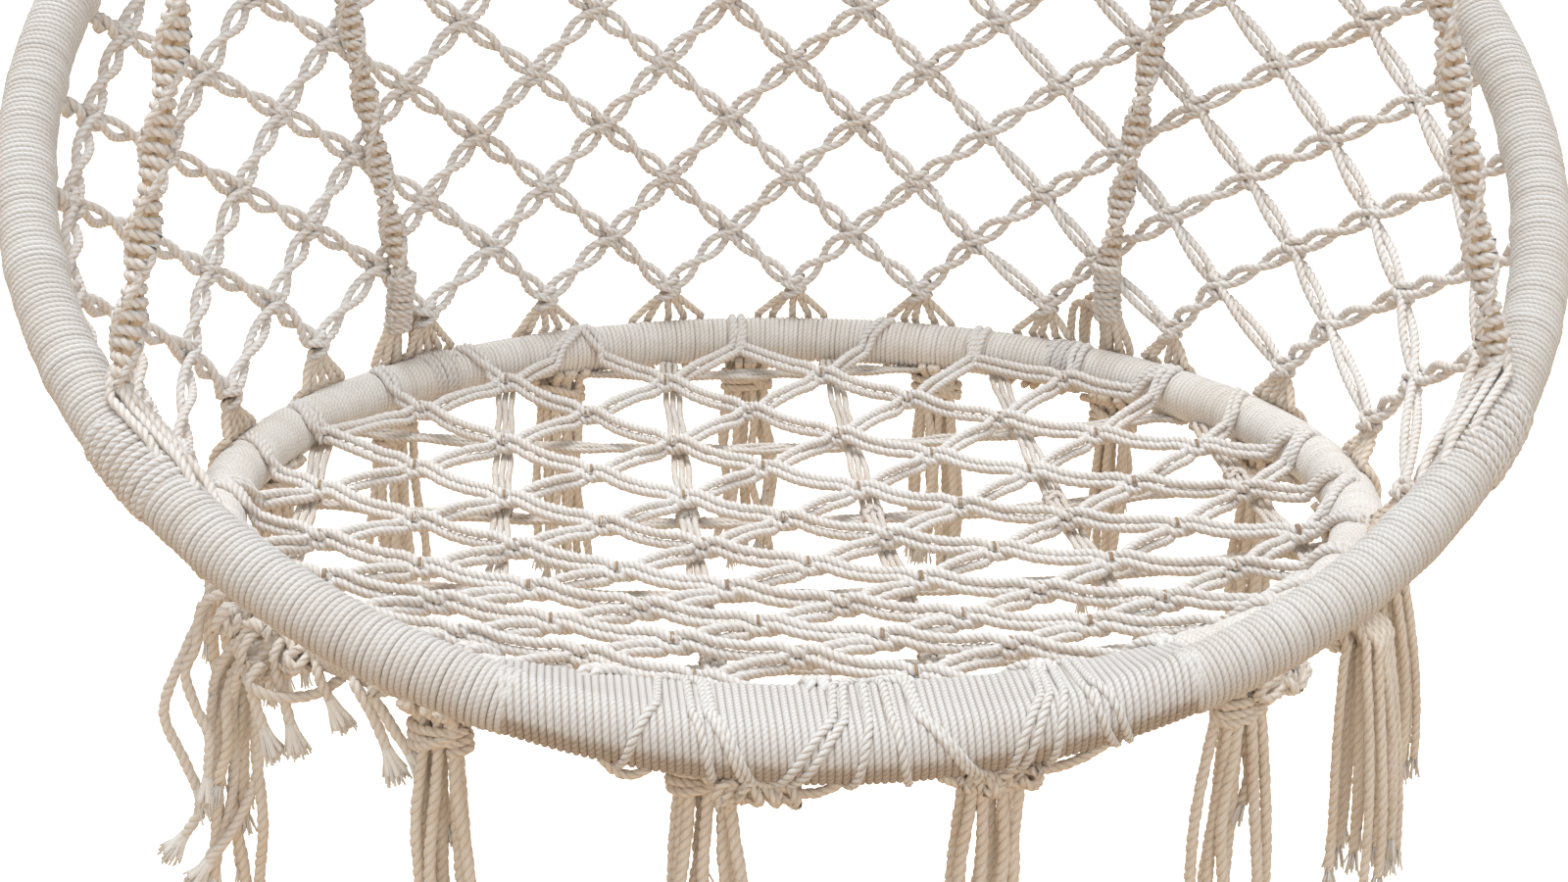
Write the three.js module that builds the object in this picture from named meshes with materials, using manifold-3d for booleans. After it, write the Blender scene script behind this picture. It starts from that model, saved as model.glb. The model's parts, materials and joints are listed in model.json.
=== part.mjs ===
// Hammock chair: two cord-wrapped steel hoops bound together at the front, a knotted back net between
// them, a looped seat net, a support web, fringe tassels and four knotted ropes up to a hanging ring.
// Millimetres, +Z up, the front faces -Y. The origin is where a hook bears on the hanging ring.

import * as THREE from 'three';
import { mergeVertices } from 'three/addons/utils/BufferGeometryUtils.js';
import Module from 'manifold-3d';

const wasm = await Module();
wasm.setup();

// Hoops
const backHoopDiameter = 800;        // outside the wrap
const seatHoopDiameter = 638;        // outside the wrap
const hoopTubeDiameter = 22;
const hoopTubeWall = 1.2;
const wrapThickness = 4;             // one layer of cord wound round a tube
const hoopSpacing = 24;              // between the two tubes' middles where they are bound
const hoopSpacingAngle = 10;         // degrees that the seat tube sits above the back tube there
const hoopTilt = 34;                 // degrees that the back hoop leans up from the seat
const bindingHalfLength = 150;       // of the front binding, to each side of the middle
const ventDiameter = 5;              // drain hole of each tube, under the binding

// Hanging
const hangHeight = 1500;             // from the seat hoop's plane up to the hook's bearing point
const seatForward = -3.4;            // the seat's middle from the hook, so that the chair hangs level
const hangWireDiameter = 10;
const hangRingBore = 60;

// Suspension ropes and lashings
const ropeWidth = 17;
const ropeDepth = 14;
const frontRopeAngle = 60;           // degrees round the back hoop from its front
const rearRopeAngle = 135;           // degrees round each hoop from its front
const frontRopeBow = 24;             // how far a front rope bows outward halfway up
const lashingCord = 5;
const lashingGap = 1;                // between neighbouring turns
const frontLashingTurns = 5;
const rearLashingTurns = 2;
const lashingShift = 7;              // from a rope's foot to the lashing beside it
const tieGap = 2.5;                  // between the back net and a rear tie in front of it
const crownDiameter = 42;
const crownLength = 64;
const crownShoulder = 8;

// Nets
const netCordWidth = 7;              // a doubled cord
const netThickness = 5;
const backMeshWidth = 76;            // a diamond's width at the middle of the back
const backMeshHeight = 74;
const backFirstRow = 33;             // height of the lowest knots above the seat hoop's plane
const seatMeshWidth = 98;
const seatMeshDepth = 72;
const seatNetShift = [-12, 21];      // of the mesh pattern from the seat's middle, in X and Y
const seatSag = 22;
const webSpacingX = 105;
const webSpacingY = 116;
const webShift = [0, -14];
const webDrop = 12;                  // from the seat net's middle down to the web's middle
const webBandWidth = 11;

// Tassels
const tasselCount = 15;
const tasselWidth = 40;
const tasselDepth = 26;
const tasselLength = 150;            // below the seat hoop
const tasselFlutes = 8;
const tasselFluteShare = 0.8;        // a groove's distance from the middle, against a ridge's
const tasselRows = [                 // share of the length, share of the width
    [0, 0.42], [0.1, 0.7], [0.16, 0.62], [0.5, 0.9], [1, 1],
];

const clearance = 0.3;               // between pieces that touch
const overrun = 5;                   // how far a cutting shape runs past what it cuts

const hoopSegments = 40;
const wrapSides = 10;
const tubeSides = 8;
const frontTurnSteps = 24;
const rearTurnSteps = 16;
const cordSides = 6;

// Worked out from the sizes above
const tubeRadius = hoopTubeDiameter / 2;
const wrapRadius = tubeRadius + wrapThickness;
const seatRadius = seatHoopDiameter / 2 - wrapRadius;
const backRadius = backHoopDiameter / 2 - wrapRadius;
const mergeTolerance = clearance / 1000;
const radians = THREE.MathUtils.degToRad;
const tilt = radians(hoopTilt);
const vector = (x, y, z) => new THREE.Vector3(x, y, z);

// A hoop is a circle with its middle, its in-plane direction towards the back, and its normal.
const seatHoop = { centre: vector(0, 0, 0), radius: seatRadius, rise: 0 };
const backFront = vector(
    0,
    -seatRadius - hoopSpacing * Math.cos(radians(hoopSpacingAngle)),
    -hoopSpacing * Math.sin(radians(hoopSpacingAngle)),
);
const backHoop = {
    centre: vector(0, backRadius * Math.cos(tilt), backRadius * Math.sin(tilt)).add(backFront),
    radius: backRadius,
    rise: tilt,
};

// The point of a hoop's middle line at an angle from its front, positive towards +X.
function hoopPoint(hoop, angle) {
    const along = -hoop.radius * Math.cos(angle);
    return vector(
        hoop.radius * Math.sin(angle),
        along * Math.cos(hoop.rise),
        along * Math.sin(hoop.rise),
    ).add(hoop.centre);
}

function hoopNormal(hoop) {
    return vector(0, -Math.sin(hoop.rise), Math.cos(hoop.rise));
}

// The same on the many-sided line that the tubes and wraps are modelled along.
function facetPoint(hoop, angle) {
    const facet = (2 * Math.PI) / hoopSegments;
    const number = Math.floor(angle / facet);
    const end = hoopPoint(hoop, facet * (number + 1));
    return hoopPoint(hoop, facet * number).lerp(end, angle / facet - number);
}

// Solids: three.js geometry in, joined or cut, and geometry out.
function toSolid(geometry) {
    const plain = geometry.index ? geometry.toNonIndexed() : geometry.clone();
    for (const name of Object.keys(plain.attributes)) {
        if (name !== 'position') plain.deleteAttribute(name);
    }
    const merged = mergeVertices(plain, mergeTolerance);
    return new wasm.Manifold(new wasm.Mesh({
        numProp: 3,
        vertProperties: new Float32Array(merged.attributes.position.array),
        triVerts: new Uint32Array(merged.index.array),
    }));
}

function toGeometry(solid) {
    const mesh = solid.getMesh();
    const geometry = new THREE.BufferGeometry();
    geometry.setAttribute('position', new THREE.BufferAttribute(mesh.vertProperties, 3));
    geometry.setIndex(new THREE.BufferAttribute(mesh.triVerts, 1));
    geometry.computeVertexNormals();
    return geometry;
}

// A ring-shaped tube round a hoop's middle line, with the flats of every such tube in line.
function hoopTorus(hoop, radius, sides) {
    const profile = [];
    for (let i = 0; i <= sides; i += 1) {
        const a = (2 * Math.PI * (i % sides)) / sides;
        profile.push(new THREE.Vector2(hoop.radius + radius * Math.cos(a), radius * Math.sin(a)));
    }
    const geometry = new THREE.LatheGeometry(profile, hoopSegments);
    geometry.rotateX(Math.PI / 2 + hoop.rise);
    geometry.translate(hoop.centre.x, hoop.centre.y, hoop.centre.z);
    return geometry;
}

function outwardSolid(geometry) {
    const solid = toSolid(geometry);
    if (solid.volume() > 0) return solid;
    const flipped = geometry.index ? geometry.toNonIndexed() : geometry.clone();
    const p = flipped.attributes.position;
    const a = new THREE.Vector3();
    const b = new THREE.Vector3();
    for (let i = 0; i < p.count; i += 3) {
        a.fromBufferAttribute(p, i + 1);
        b.fromBufferAttribute(p, i + 2);
        p.setXYZ(i + 1, b.x, b.y, b.z);
        p.setXYZ(i + 2, a.x, a.y, a.z);
    }
    return toSolid(flipped);
}

// A closed skin over a row of loops that all have the same number of points, with flat ends.
function loft(loops) {
    const sides = loops[0].length;
    const positions = [];
    const triangle = (a, b, c) => {
        for (const p of [a, b, c]) positions.push(p.x, p.y, p.z);
    };
    for (let i = 0; i < loops.length - 1; i += 1) {
        for (let j = 0; j < sides; j += 1) {
            const k = (j + 1) % sides;
            triangle(loops[i][j], loops[i][k], loops[i + 1][k]);
            triangle(loops[i][j], loops[i + 1][k], loops[i + 1][j]);
        }
    }
    const first = loops[0];
    const last = loops[loops.length - 1];
    for (let j = 1; j < sides - 1; j += 1) {
        triangle(first[0], first[j + 1], first[j]);
        triangle(last[0], last[j], last[j + 1]);
    }
    const geometry = new THREE.BufferGeometry();
    geometry.setAttribute('position', new THREE.Float32BufferAttribute(positions, 3));
    return geometry;
}

const seatWrapEnvelope = outwardSolid(hoopTorus(seatHoop, wrapRadius + clearance, wrapSides));
const backWrapEnvelope = outwardSolid(hoopTorus(backHoop, wrapRadius + clearance, wrapSides));

// A hoop's steel tube: bent round and welded, hollow, with a drain hole at its front.
function hoopTube(hoop) {
    const outer = outwardSolid(hoopTorus(hoop, tubeRadius, tubeSides));
    const bore = outwardSolid(hoopTorus(hoop, tubeRadius - hoopTubeWall, tubeSides));
    const drill = new THREE.CylinderGeometry(ventDiameter / 2, ventDiameter / 2, tubeRadius, tubeSides);
    drill.rotateX(Math.PI / 2);
    const inward = hoopPoint(hoop, 0);
    const side = hoop === seatHoop ? tubeRadius : -tubeRadius;
    drill.translate(inward.x, inward.y + side, inward.z);
    return toGeometry(outer.subtract(bore).subtract(outwardSolid(drill)));
}

// The cord wound round a tube, left off where the front binding takes over.
function hoopWrap(hoop) {
    const outer = outwardSolid(hoopTorus(hoop, wrapRadius, wrapSides));
    const bore = outwardSolid(hoopTorus(hoop, tubeRadius + clearance, tubeSides));
    const gap = new THREE.BoxGeometry(
        2 * (bindingHalfLength + clearance),
        backHoopDiameter,
        backHoopDiameter,
    );
    gap.translate(0, -backHoopDiameter / 2, 0);
    return toGeometry(outer.subtract(bore).subtract(outwardSolid(gap)));
}

// The cord wound round both tubes at the front: at each station the hull of both wrapped tubes.
function bindingHull(radius, halfLength) {
    const stations = 14;
    const directions = 16;
    const loops = [];
    for (let i = 0; i <= stations; i += 1) {
        const x = halfLength * ((2 * i) / stations - 1);
        const sections = [seatHoop, backHoop].map((hoop) => {
            const angle = Math.asin(x / hoop.radius);
            return { at: hoopPoint(hoop, angle), stretch: radius / Math.cos(angle), hoop };
        });
        const loop = [];
        for (let j = 0; j < directions; j += 1) {
            const a = (2 * Math.PI * j) / directions;
            const way = vector(0, Math.cos(a), Math.sin(a));
            let best = null;
            for (const section of sections) {
                const inPlane = vector(0, Math.cos(section.hoop.rise), Math.sin(section.hoop.rise));
                const normal = hoopNormal(section.hoop);
                const u = way.dot(inPlane) * section.stretch;
                const v = way.dot(normal) * radius;
                const reach = Math.hypot(u, v);
                const point = section.at.clone()
                    .addScaledVector(inPlane, (section.stretch * u) / reach)
                    .addScaledVector(normal, (radius * v) / reach);
                if (!best || point.dot(way) > best.dot(way)) best = point;
            }
            loop.push(best);
        }
        loops.push(loop);
    }
    return outwardSolid(loft(loops));
}

const bindingEnvelope = bindingHull(wrapRadius + clearance, bindingHalfLength + clearance);

function frontBinding() {
    let solid = bindingHull(wrapRadius, bindingHalfLength);
    for (const hoop of [seatHoop, backHoop]) {
        solid = solid.subtract(outwardSolid(hoopTorus(hoop, tubeRadius + clearance, tubeSides)));
    }
    return toGeometry(solid);
}

// What lies on the hoops beside the wraps: the ropes' feet, and the lashings next to them.
const lashingPitch = lashingCord + lashingGap;
const lashings = [];
const ropeFeet = [];
for (const [label, side] of [['left', -1], ['right', 1]]) {
    const beside = (hoop, turns) => (
        ((ropeWidth + (turns + 1) * lashingPitch) / 2 + lashingShift) / hoop.radius
    );
    const front = radians(frontRopeAngle);
    const rear = radians(rearRopeAngle);
    lashings.push(
        {
            name: `front_${label}_lashing`,
            hoop: backHoop,
            angle: side * (front - beside(backHoop, frontLashingTurns)),
            turns: frontLashingTurns,
            turnSteps: frontTurnSteps,
        },
        {
            name: `rear_${label}_upper_lashing`,
            hoop: backHoop,
            angle: side * (rear + beside(backHoop, rearLashingTurns)),
            turns: rearLashingTurns,
            turnSteps: rearTurnSteps,
        },
        {
            name: `rear_${label}_lower_lashing`,
            hoop: seatHoop,
            angle: side * (rear + beside(seatHoop, rearLashingTurns)),
            turns: rearLashingTurns,
            turnSteps: rearTurnSteps,
        },
    );
    ropeFeet.push(
        { hoop: backHoop, angle: side * front },
        { hoop: backHoop, angle: side * rear },
        { hoop: seatHoop, angle: side * rear },
    );
}

function angleApart(a, b) {
    const turn = Math.abs(a - b) % (2 * Math.PI);
    return Math.min(turn, 2 * Math.PI - turn);
}

// How near to a hoop's middle line a strand may come at an angle, or null where a rope's foot stands.
function hoopReach(hoop, angle, width) {
    for (const foot of ropeFeet) {
        const half = ((ropeWidth + width) / 2 + clearance) / hoop.radius;
        if (foot.hoop === hoop && angleApart(foot.angle, angle) < half) return null;
    }
    for (const lashing of lashings) {
        const half = ((lashing.turns + 1) * lashingPitch + width) / 2 / hoop.radius;
        if (lashing.hoop === hoop && angleApart(lashing.angle, angle) < half) {
            return wrapRadius + lashingCord + 2 * clearance;
        }
    }
    return wrapRadius + clearance;
}

// A net as one solid: knots where strands meet, and a flat strand along every edge.
// A knot is { at, normal }; an edge is [knot, knot]; a knot with one edge is a cut end.
function netSolid(knots, edges, width, thickness) {
    const spokes = knots.map(() => []);
    edges.forEach(([a, b], e) => {
        spokes[a].push({ other: b, e });
        spokes[b].push({ other: a, e });
    });
    const positions = [];
    const triangle = (a, b, c) => {
        for (const p of [a, b, c]) positions.push(p.x, p.y, p.z);
    };
    const quad = (a, b, c, d) => {
        triangle(a, b, c);
        triangle(a, c, d);
    };
    const sideOf = new Map();            // each edge's left and right corner at each of its knots
    knots.forEach((knot, k) => {
        const normal = knot.normal;
        const start = Math.abs(normal.x) < Math.abs(normal.z) ? vector(1, 0, 0) : vector(0, 0, 1);
        const u = start.addScaledVector(normal, -start.dot(normal)).normalize();
        const v = normal.clone().cross(u);
        const around = spokes[k].map((spoke) => {
            const way = knots[spoke.other].at.clone().sub(knot.at);
            return { ...spoke, angle: Math.atan2(way.dot(v), way.dot(u)) };
        }).sort((a, b) => a.angle - b.angle);
        const levels = [thickness / 2, -thickness / 2];
        const place = (angle, distance) => levels.map((level) => knot.at.clone()
            .addScaledVector(u, distance * Math.cos(angle))
            .addScaledVector(v, distance * Math.sin(angle))
            .addScaledVector(normal, level));
        if (around.length === 1) {
            const { angle, e } = around[0];
            const right = place(angle - Math.PI / 2, width / 2);
            const left = place(angle + Math.PI / 2, width / 2);
            sideOf.set(`${e}:${k}`, { left, right });
            quad(right[0], left[0], left[1], right[1]);
            return;
        }
        const corners = around.map((spoke, i) => {
            const next = around[(i + 1) % around.length];
            let span = next.angle - spoke.angle;
            if (span <= 0) span += 2 * Math.PI;
            const reach = Math.min(width / 2 / Math.sin(Math.min(span, Math.PI) / 2), width);
            return place(spoke.angle + span / 2, span > Math.PI ? width / 2 : reach);
        });
        around.forEach((spoke, i) => {
            const right = corners[(i + around.length - 1) % around.length];
            sideOf.set(`${spoke.e}:${k}`, { left: corners[i], right });
        });
        if (around.length === 2) return;
        for (let i = 1; i < corners.length - 1; i += 1) {
            triangle(corners[0][0], corners[i][0], corners[i + 1][0]);
            triangle(corners[0][1], corners[i + 1][1], corners[i][1]);
        }
    });
    edges.forEach(([a, b], e) => {
        const near = sideOf.get(`${e}:${a}`);
        const far = sideOf.get(`${e}:${b}`);
        quad(near.right[0], far.left[0], far.right[0], near.left[0]);
        quad(near.right[1], near.left[1], far.right[1], far.left[1]);
        quad(near.right[0], near.right[1], far.left[1], far.left[0]);
        quad(near.left[0], far.right[0], far.right[1], near.left[1]);
    });
    const geometry = new THREE.BufferGeometry();
    geometry.setAttribute('position', new THREE.Float32BufferAttribute(positions, 3));
    return geometry;
}

// A point's distance from a hoop's many-sided middle line, and its angle round the hoop.
function nearHoop(point, hoop) {
    const local = point.clone().sub(hoop.centre);
    const height = local.dot(hoopNormal(hoop));
    const forward = -local.dot(vector(0, Math.cos(hoop.rise), Math.sin(hoop.rise)));
    const angle = Math.atan2(local.x, forward);
    const facet = (2 * Math.PI) / hoopSegments;
    const fromMiddle = angle - facet * (Math.floor(angle / facet) + 0.5);
    const out = Math.hypot(local.x, forward) * Math.cos(fromMiddle) - hoop.radius * Math.cos(facet / 2);
    return { distance: Math.hypot(out, height), angle };
}

// Where a strand that leaves a knot one way is cut so that its end seats on a hoop's wrap.
function strandEnd(from, way, normal, hoop, size) {
    const steps = 600;
    const length = 3 * backMeshWidth;
    const forward = way.clone().normalize();
    const side = normal.clone().cross(forward).normalize();
    let last = null;
    for (let i = 1; i <= steps; i += 1) {
        const at = from.clone().addScaledVector(forward, (length * i) / steps);
        const reach = hoopReach(hoop, nearHoop(at, hoop).angle, size.width);
        for (const u of [-1, 0, 1]) {
            for (const v of [-1, 0, 1]) {
                const corner = at.clone()
                    .addScaledVector(side, (u * size.width) / 2)
                    .addScaledVector(normal, (v * size.thickness) / 2);
                const limit = reach ?? wrapRadius + clearance;
                if (nearHoop(corner, hoop).distance < limit) return reach === null ? null : last;
            }
        }
        last = at;
    }
    return null;
}

// The back net hangs on the slanting wall between the two hoops. A point is given by its column, which
// is counted from the middle of the back, and its row, which is counted up from the lowest knots.
const backColumnStretchShare = 0.0022;   // how much wider each column is than the one before it
const backRowShrinkShare = 0.012;        // how much lower the rows are, for each column outward
const backLastColumn = 14;

function wallPoint(arc, height) {
    const angle = Math.PI - arc / seatRadius;
    const low = hoopPoint(seatHoop, angle);
    const high = hoopPoint(backHoop, angle);
    return low.lerp(high, height / high.z);
}

function wallNormal(arc, height) {
    const step = backMeshWidth / 4;
    const across = wallPoint(arc + step, height).sub(wallPoint(arc - step, height));
    const up = wallPoint(arc, height + step).sub(wallPoint(arc, height - step));
    return across.cross(up).normalize();
}

function backKnot(column, row) {
    const size = Math.abs(column);
    const arc = (backMeshWidth / 2) * column * (1 + backColumnStretchShare * size * size);
    const height = backFirstRow + (backMeshHeight / 2) * row * (1 - backRowShrinkShare * size);
    return { at: wallPoint(arc, height), normal: wallNormal(arc, height), arc, height };
}

function backNet() {
    const size = { width: netCordWidth, thickness: netThickness };
    const knots = [];
    const edges = [];
    const numbers = new Map();
    const clear = (knot) => {
        const { distance, angle } = nearHoop(knot.at, backHoop);
        const below = knot.height < hoopPoint(backHoop, angle).z;
        const room = hoopReach(backHoop, angle, netCordWidth) ?? wrapRadius;
        return below && distance > room + 2 * netCordWidth;
    };
    // the back hoop's top is this many rows up, and no column is taller
    const lastRow = Math.ceil((4 * backRadius * Math.sin(tilt)) / backMeshHeight);
    for (let c = -backLastColumn; c <= backLastColumn; c += 1) {
        for (let row = Math.abs(c + 1) % 2; row <= lastRow; row += 2) {
            const knot = backKnot(c, row);
            if (!clear(knot)) break;
            numbers.set(`${c},${row}`, knots.length);
            knots.push(knot);
        }
    }
    const addEnd = (from, to, hoop) => {
        const { at, normal } = knots[from];
        const end = strandEnd(at, to.clone().sub(at), normal, hoop, size);
        if (!end) return;
        edges.push([from, knots.length]);
        knots.push({ at: end, normal });
    };
    for (const [key, number] of [...numbers]) {
        const [c, row] = key.split(',').map(Number);
        for (const side of [-1, 1]) {
            const above = numbers.get(`${c + side},${row + 1}`);
            if (above === undefined) addEnd(number, backKnot(c + side, row + 1).at, backHoop);
            else edges.push([number, above]);
            if (row > 0 && !numbers.has(`${c + side},${row - 1}`)) {
                addEnd(number, backKnot(c + side, row - 1).at, seatHoop);
            }
        }
        if (row === 0) {
            for (const spread of [-1, 0, 1]) {
                const arc = knots[number].arc + (spread * backMeshWidth) / 4;
                addEnd(number, wallPoint(arc, 0), seatHoop);
            }
        }
    }
    return toGeometry(outwardSolid(netSolid(knots, edges, netCordWidth, netThickness)));
}

// A net inside the seat hoop, which sags towards its middle. The points map a key to [x, y], the links
// give the keys next to a key, and the drop is the net's height below the hoop's plane at its edge.
function flatNet(points, links, size, drop) {
    const up = vector(0, 0, 1);
    const innerRadius = seatRadius - wrapRadius;
    const heightAt = (x, y) => {
        const outShare = Math.min(Math.hypot(x, y) / innerRadius, 1);
        return -drop - seatSag * (1 - outShare * outShare);
    };
    const knots = [];
    const edges = [];
    const numbers = new Map();
    for (const [key, [x, y]] of points) {
        if (Math.hypot(x, y) > innerRadius - size.width) continue;
        numbers.set(key, knots.length);
        knots.push({ at: vector(x, y, heightAt(x, y)), normal: up });
    }
    for (const [key, number] of [...numbers]) {
        for (const other of links(key)) {
            if (numbers.has(other)) {
                if (numbers.get(other) > number) edges.push([number, numbers.get(other)]);
                continue;
            }
            const [x, y] = points.get(key);
            const [nextX, nextY] = points.get(other);
            const way = vector(nextX - x, nextY - y, 0);
            const end = strandEnd(vector(x, y, -drop), way, up, seatHoop, size);
            if (!end) continue;
            edges.push([number, knots.length]);
            knots.push({ at: end, normal: up });
        }
    }
    return toGeometry(outwardSolid(netSolid(knots, edges, size.width, size.thickness)));
}

// The lattice's points out to one past the seat hoop, or every second one of them.
function latticePoints(spacingX, spacingY, [shiftX, shiftY], everySecond) {
    const points = new Map();
    const columns = Math.ceil(seatRadius / spacingX) + 1;
    const rows = Math.ceil(seatRadius / spacingY) + 1;
    for (let c = -columns; c <= columns; c += 1) {
        for (let row = -rows; row <= rows; row += 1) {
            if (everySecond && (c + row) % 2 !== 0) continue;
            points.set(`${c},${row}`, [spacingX * c + shiftX, spacingY * row + shiftY]);
        }
    }
    return points;
}

const linksBy = (ways) => (key) => {
    const [c, row] = key.split(',').map(Number);
    return ways.map(([i, j]) => `${c + i},${row + j}`);
};

// The seat net: wavy rows of doubled cord that hook each other into diamonds.
function seatNet() {
    const points = latticePoints(seatMeshWidth / 2, seatMeshDepth / 2, seatNetShift, true);
    const diagonals = linksBy([[1, 1], [1, -1], [-1, 1], [-1, -1]]);
    return flatNet(points, diagonals, { width: netCordWidth, thickness: netThickness }, 0);
}

// The support web: a wide square lattice of flat bands close under the seat net.
function supportWeb() {
    const middle = [webShift[0] + webSpacingX / 2, webShift[1] + webSpacingY / 2];
    const points = latticePoints(webSpacingX, webSpacingY, middle, false);
    const squares = linksBy([[1, 0], [0, 1], [-1, 0], [0, -1]]);
    return flatNet(points, squares, { width: webBandWidth, thickness: netThickness }, webDrop);
}

// A suspension rope: an oval section along a gentle curve, cut to sit on the hoops' wraps.
function rope(points, cutters) {
    const section = new THREE.Shape();
    section.absellipse(0, 0, ropeWidth / 2, ropeDepth / 2, 0, 2 * Math.PI);
    const path = new THREE.CatmullRomCurve3(points, false, 'centripetal');
    const geometry = new THREE.ExtrudeGeometry(section, {
        extrudePath: path,
        steps: Math.ceil(path.getLength() / (6 * ropeWidth)),
        curveSegments: tubeSides / 2,
    });
    let solid = outwardSolid(geometry);
    for (const cutter of cutters) solid = solid.subtract(cutter);
    return toGeometry(solid);
}

// A lashing: one unbroken cord wound round a hoop's wrap.
function windLashing({ hoop, angle: middle, turns, turnSteps }) {
    const coil = wrapRadius + clearance + lashingCord / 2;
    const span = (turns * lashingPitch) / hoop.radius;
    const steps = turns * turnSteps;
    const normal = hoopNormal(hoop);
    const line = [];
    for (let i = 0; i <= steps; i += 1) {
        const turn = (2 * Math.PI * i) / turnSteps;
        const at = facetPoint(hoop, middle + span * (i / steps - 1 / 2));
        const out = at.clone().sub(hoop.centre).normalize();
        const radial = out.multiplyScalar(Math.cos(turn)).addScaledVector(normal, Math.sin(turn));
        line.push({ at: at.addScaledVector(radial, coil), radial });
    }
    const loops = line.map(({ at, radial }, i) => {
        const before = line[Math.max(i - 1, 0)].at;
        const after = line[Math.min(i + 1, steps)].at;
        const way = after.clone().sub(before).normalize();
        const side = way.clone().cross(radial).normalize();
        const outward = side.clone().cross(way);
        const loop = [];
        for (let j = 0; j < cordSides; j += 1) {
            const a = (2 * Math.PI * j) / cordSides;
            loop.push(at.clone()
                .addScaledVector(side, (lashingCord / 2) * Math.cos(a))
                .addScaledVector(outward, (lashingCord / 2) * Math.sin(a)));
        }
        return loop;
    });
    let least = Infinity;
    for (let i = 0; i < line.length; i += 1) {
        for (let j = i + turnSteps / 2; j < line.length; j += 1) {
            least = Math.min(least, line[i].at.distanceTo(line[j].at) - lashingCord);
        }
    }
    return { geometry: toGeometry(outwardSolid(loft(loops))), least };
}

// A tassel: a fluted bundle of cords that hangs from the seat hoop and spreads a little downward.
function tassel(angle) {
    const middle = hoopPoint(seatHoop, angle);
    const across = vector(Math.cos(angle), Math.sin(angle), 0);
    const inward = vector(-Math.sin(angle), Math.cos(angle), 0);
    const loops = tasselRows.map(([along, wide]) => {
        const drop = wrapRadius / 2 + along * (tasselLength + wrapRadius / 2);
        const loop = [];
        for (let i = 0; i < 2 * tasselFlutes; i += 1) {
            const a = (Math.PI * i) / tasselFlutes;
            const size = i % 2 === 0 ? 1 : tasselFluteShare;
            loop.push(vector(middle.x, middle.y, middle.z - drop)
                .addScaledVector(across, (size * wide * tasselWidth * Math.cos(a)) / 2)
                .addScaledVector(inward, (size * wide * tasselDepth * Math.sin(a)) / 2));
        }
        return loop;
    });
    return toGeometry(
        outwardSolid(loft(loops)).subtract(seatWrapEnvelope).subtract(bindingEnvelope),
    );
}

// The hanging ring stands in the XZ plane, with the hook's bearing point on its inside at the top.
const hangRadius = (hangRingBore + hangWireDiameter) / 2;
const swingDrop = hangRingBore + hangWireDiameter / 2;   // from the bearing point to the lower wire

function hangingRing() {
    const wireSides = 10;
    const ringSegments = 36;
    const geometry = new THREE.TorusGeometry(
        hangRadius, hangWireDiameter / 2, wireSides, ringSegments,
    );
    geometry.rotateX(Math.PI / 2);
    geometry.translate(0, 0, -hangRingBore / 2);
    return toGeometry(outwardSolid(geometry));
}

// The crown: the ropes' cords folded over the ring's lower wire and bound into one neck.
function crown() {
    const radius = crownDiameter / 2;
    const top = -swingDrop + hangWireDiameter / 2 + crownShoulder;
    const bottom = top - crownLength;
    const profile = [
        new THREE.Vector2(0, bottom),
        new THREE.Vector2(radius - crownShoulder / 4, bottom),
        new THREE.Vector2(radius, bottom + crownShoulder / 2),
        new THREE.Vector2(radius, top - 3 * crownShoulder),
        new THREE.Vector2(radius / 2, top - crownShoulder / 2),
        new THREE.Vector2(radius / 4, top),
        new THREE.Vector2(0, top),
    ];
    const body = new THREE.LatheGeometry(profile, 2 * tubeSides);
    body.rotateX(Math.PI / 2);
    // the wire curves, so the eye widens outward and stays round about the wire's lowest line
    const eye = [];
    const eyeSteps = 4;
    const eyeRadius = (hangWireDiameter / 2 + clearance) / Math.cos(Math.PI / wrapSides);
    for (let i = -eyeSteps; i <= eyeSteps; i += 1) {
        const x = ((radius + overrun) * i) / eyeSteps;
        const lift = hangRadius - Math.sqrt(hangRadius * hangRadius - x * x);
        eye.push(new THREE.Vector2(eyeRadius + lift, x));
    }
    const ends = [new THREE.Vector2(0, -radius - overrun), ...eye, new THREE.Vector2(0, radius + overrun)];
    const bore = new THREE.LatheGeometry(ends, wrapSides);
    bore.rotateZ(Math.PI / 2);
    bore.translate(0, 0, -swingDrop);
    return { geometry: toGeometry(outwardSolid(body).subtract(outwardSolid(bore))), bottom };
}

// Materials, as the eye sees them: natural cotton, and steel under it and at the top.
const cotton = new THREE.MeshStandardMaterial({ color: 0xe6ddcf, roughness: 0.95, metalness: 0 });
const cottonShade = new THREE.MeshStandardMaterial({ color: 0xd9cdb9, roughness: 0.95, metalness: 0 });
const steel = new THREE.MeshStandardMaterial({ color: 0x9b9b98, roughness: 0.4, metalness: 1 });

const chair = new THREE.Group();
const seatFrame = new THREE.Group();
seatFrame.position.set(0, seatForward, -hangHeight);
chair.add(seatFrame);

function addPiece(parent, name, geometry, material) {
    const mesh = new THREE.Mesh(geometry, material);
    mesh.name = name;
    parent.add(mesh);
}

addPiece(chair, 'hanging_ring', hangingRing(), steel);
const crownPiece = crown();
addPiece(chair, 'crown_knot', crownPiece.geometry, cotton);

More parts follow.
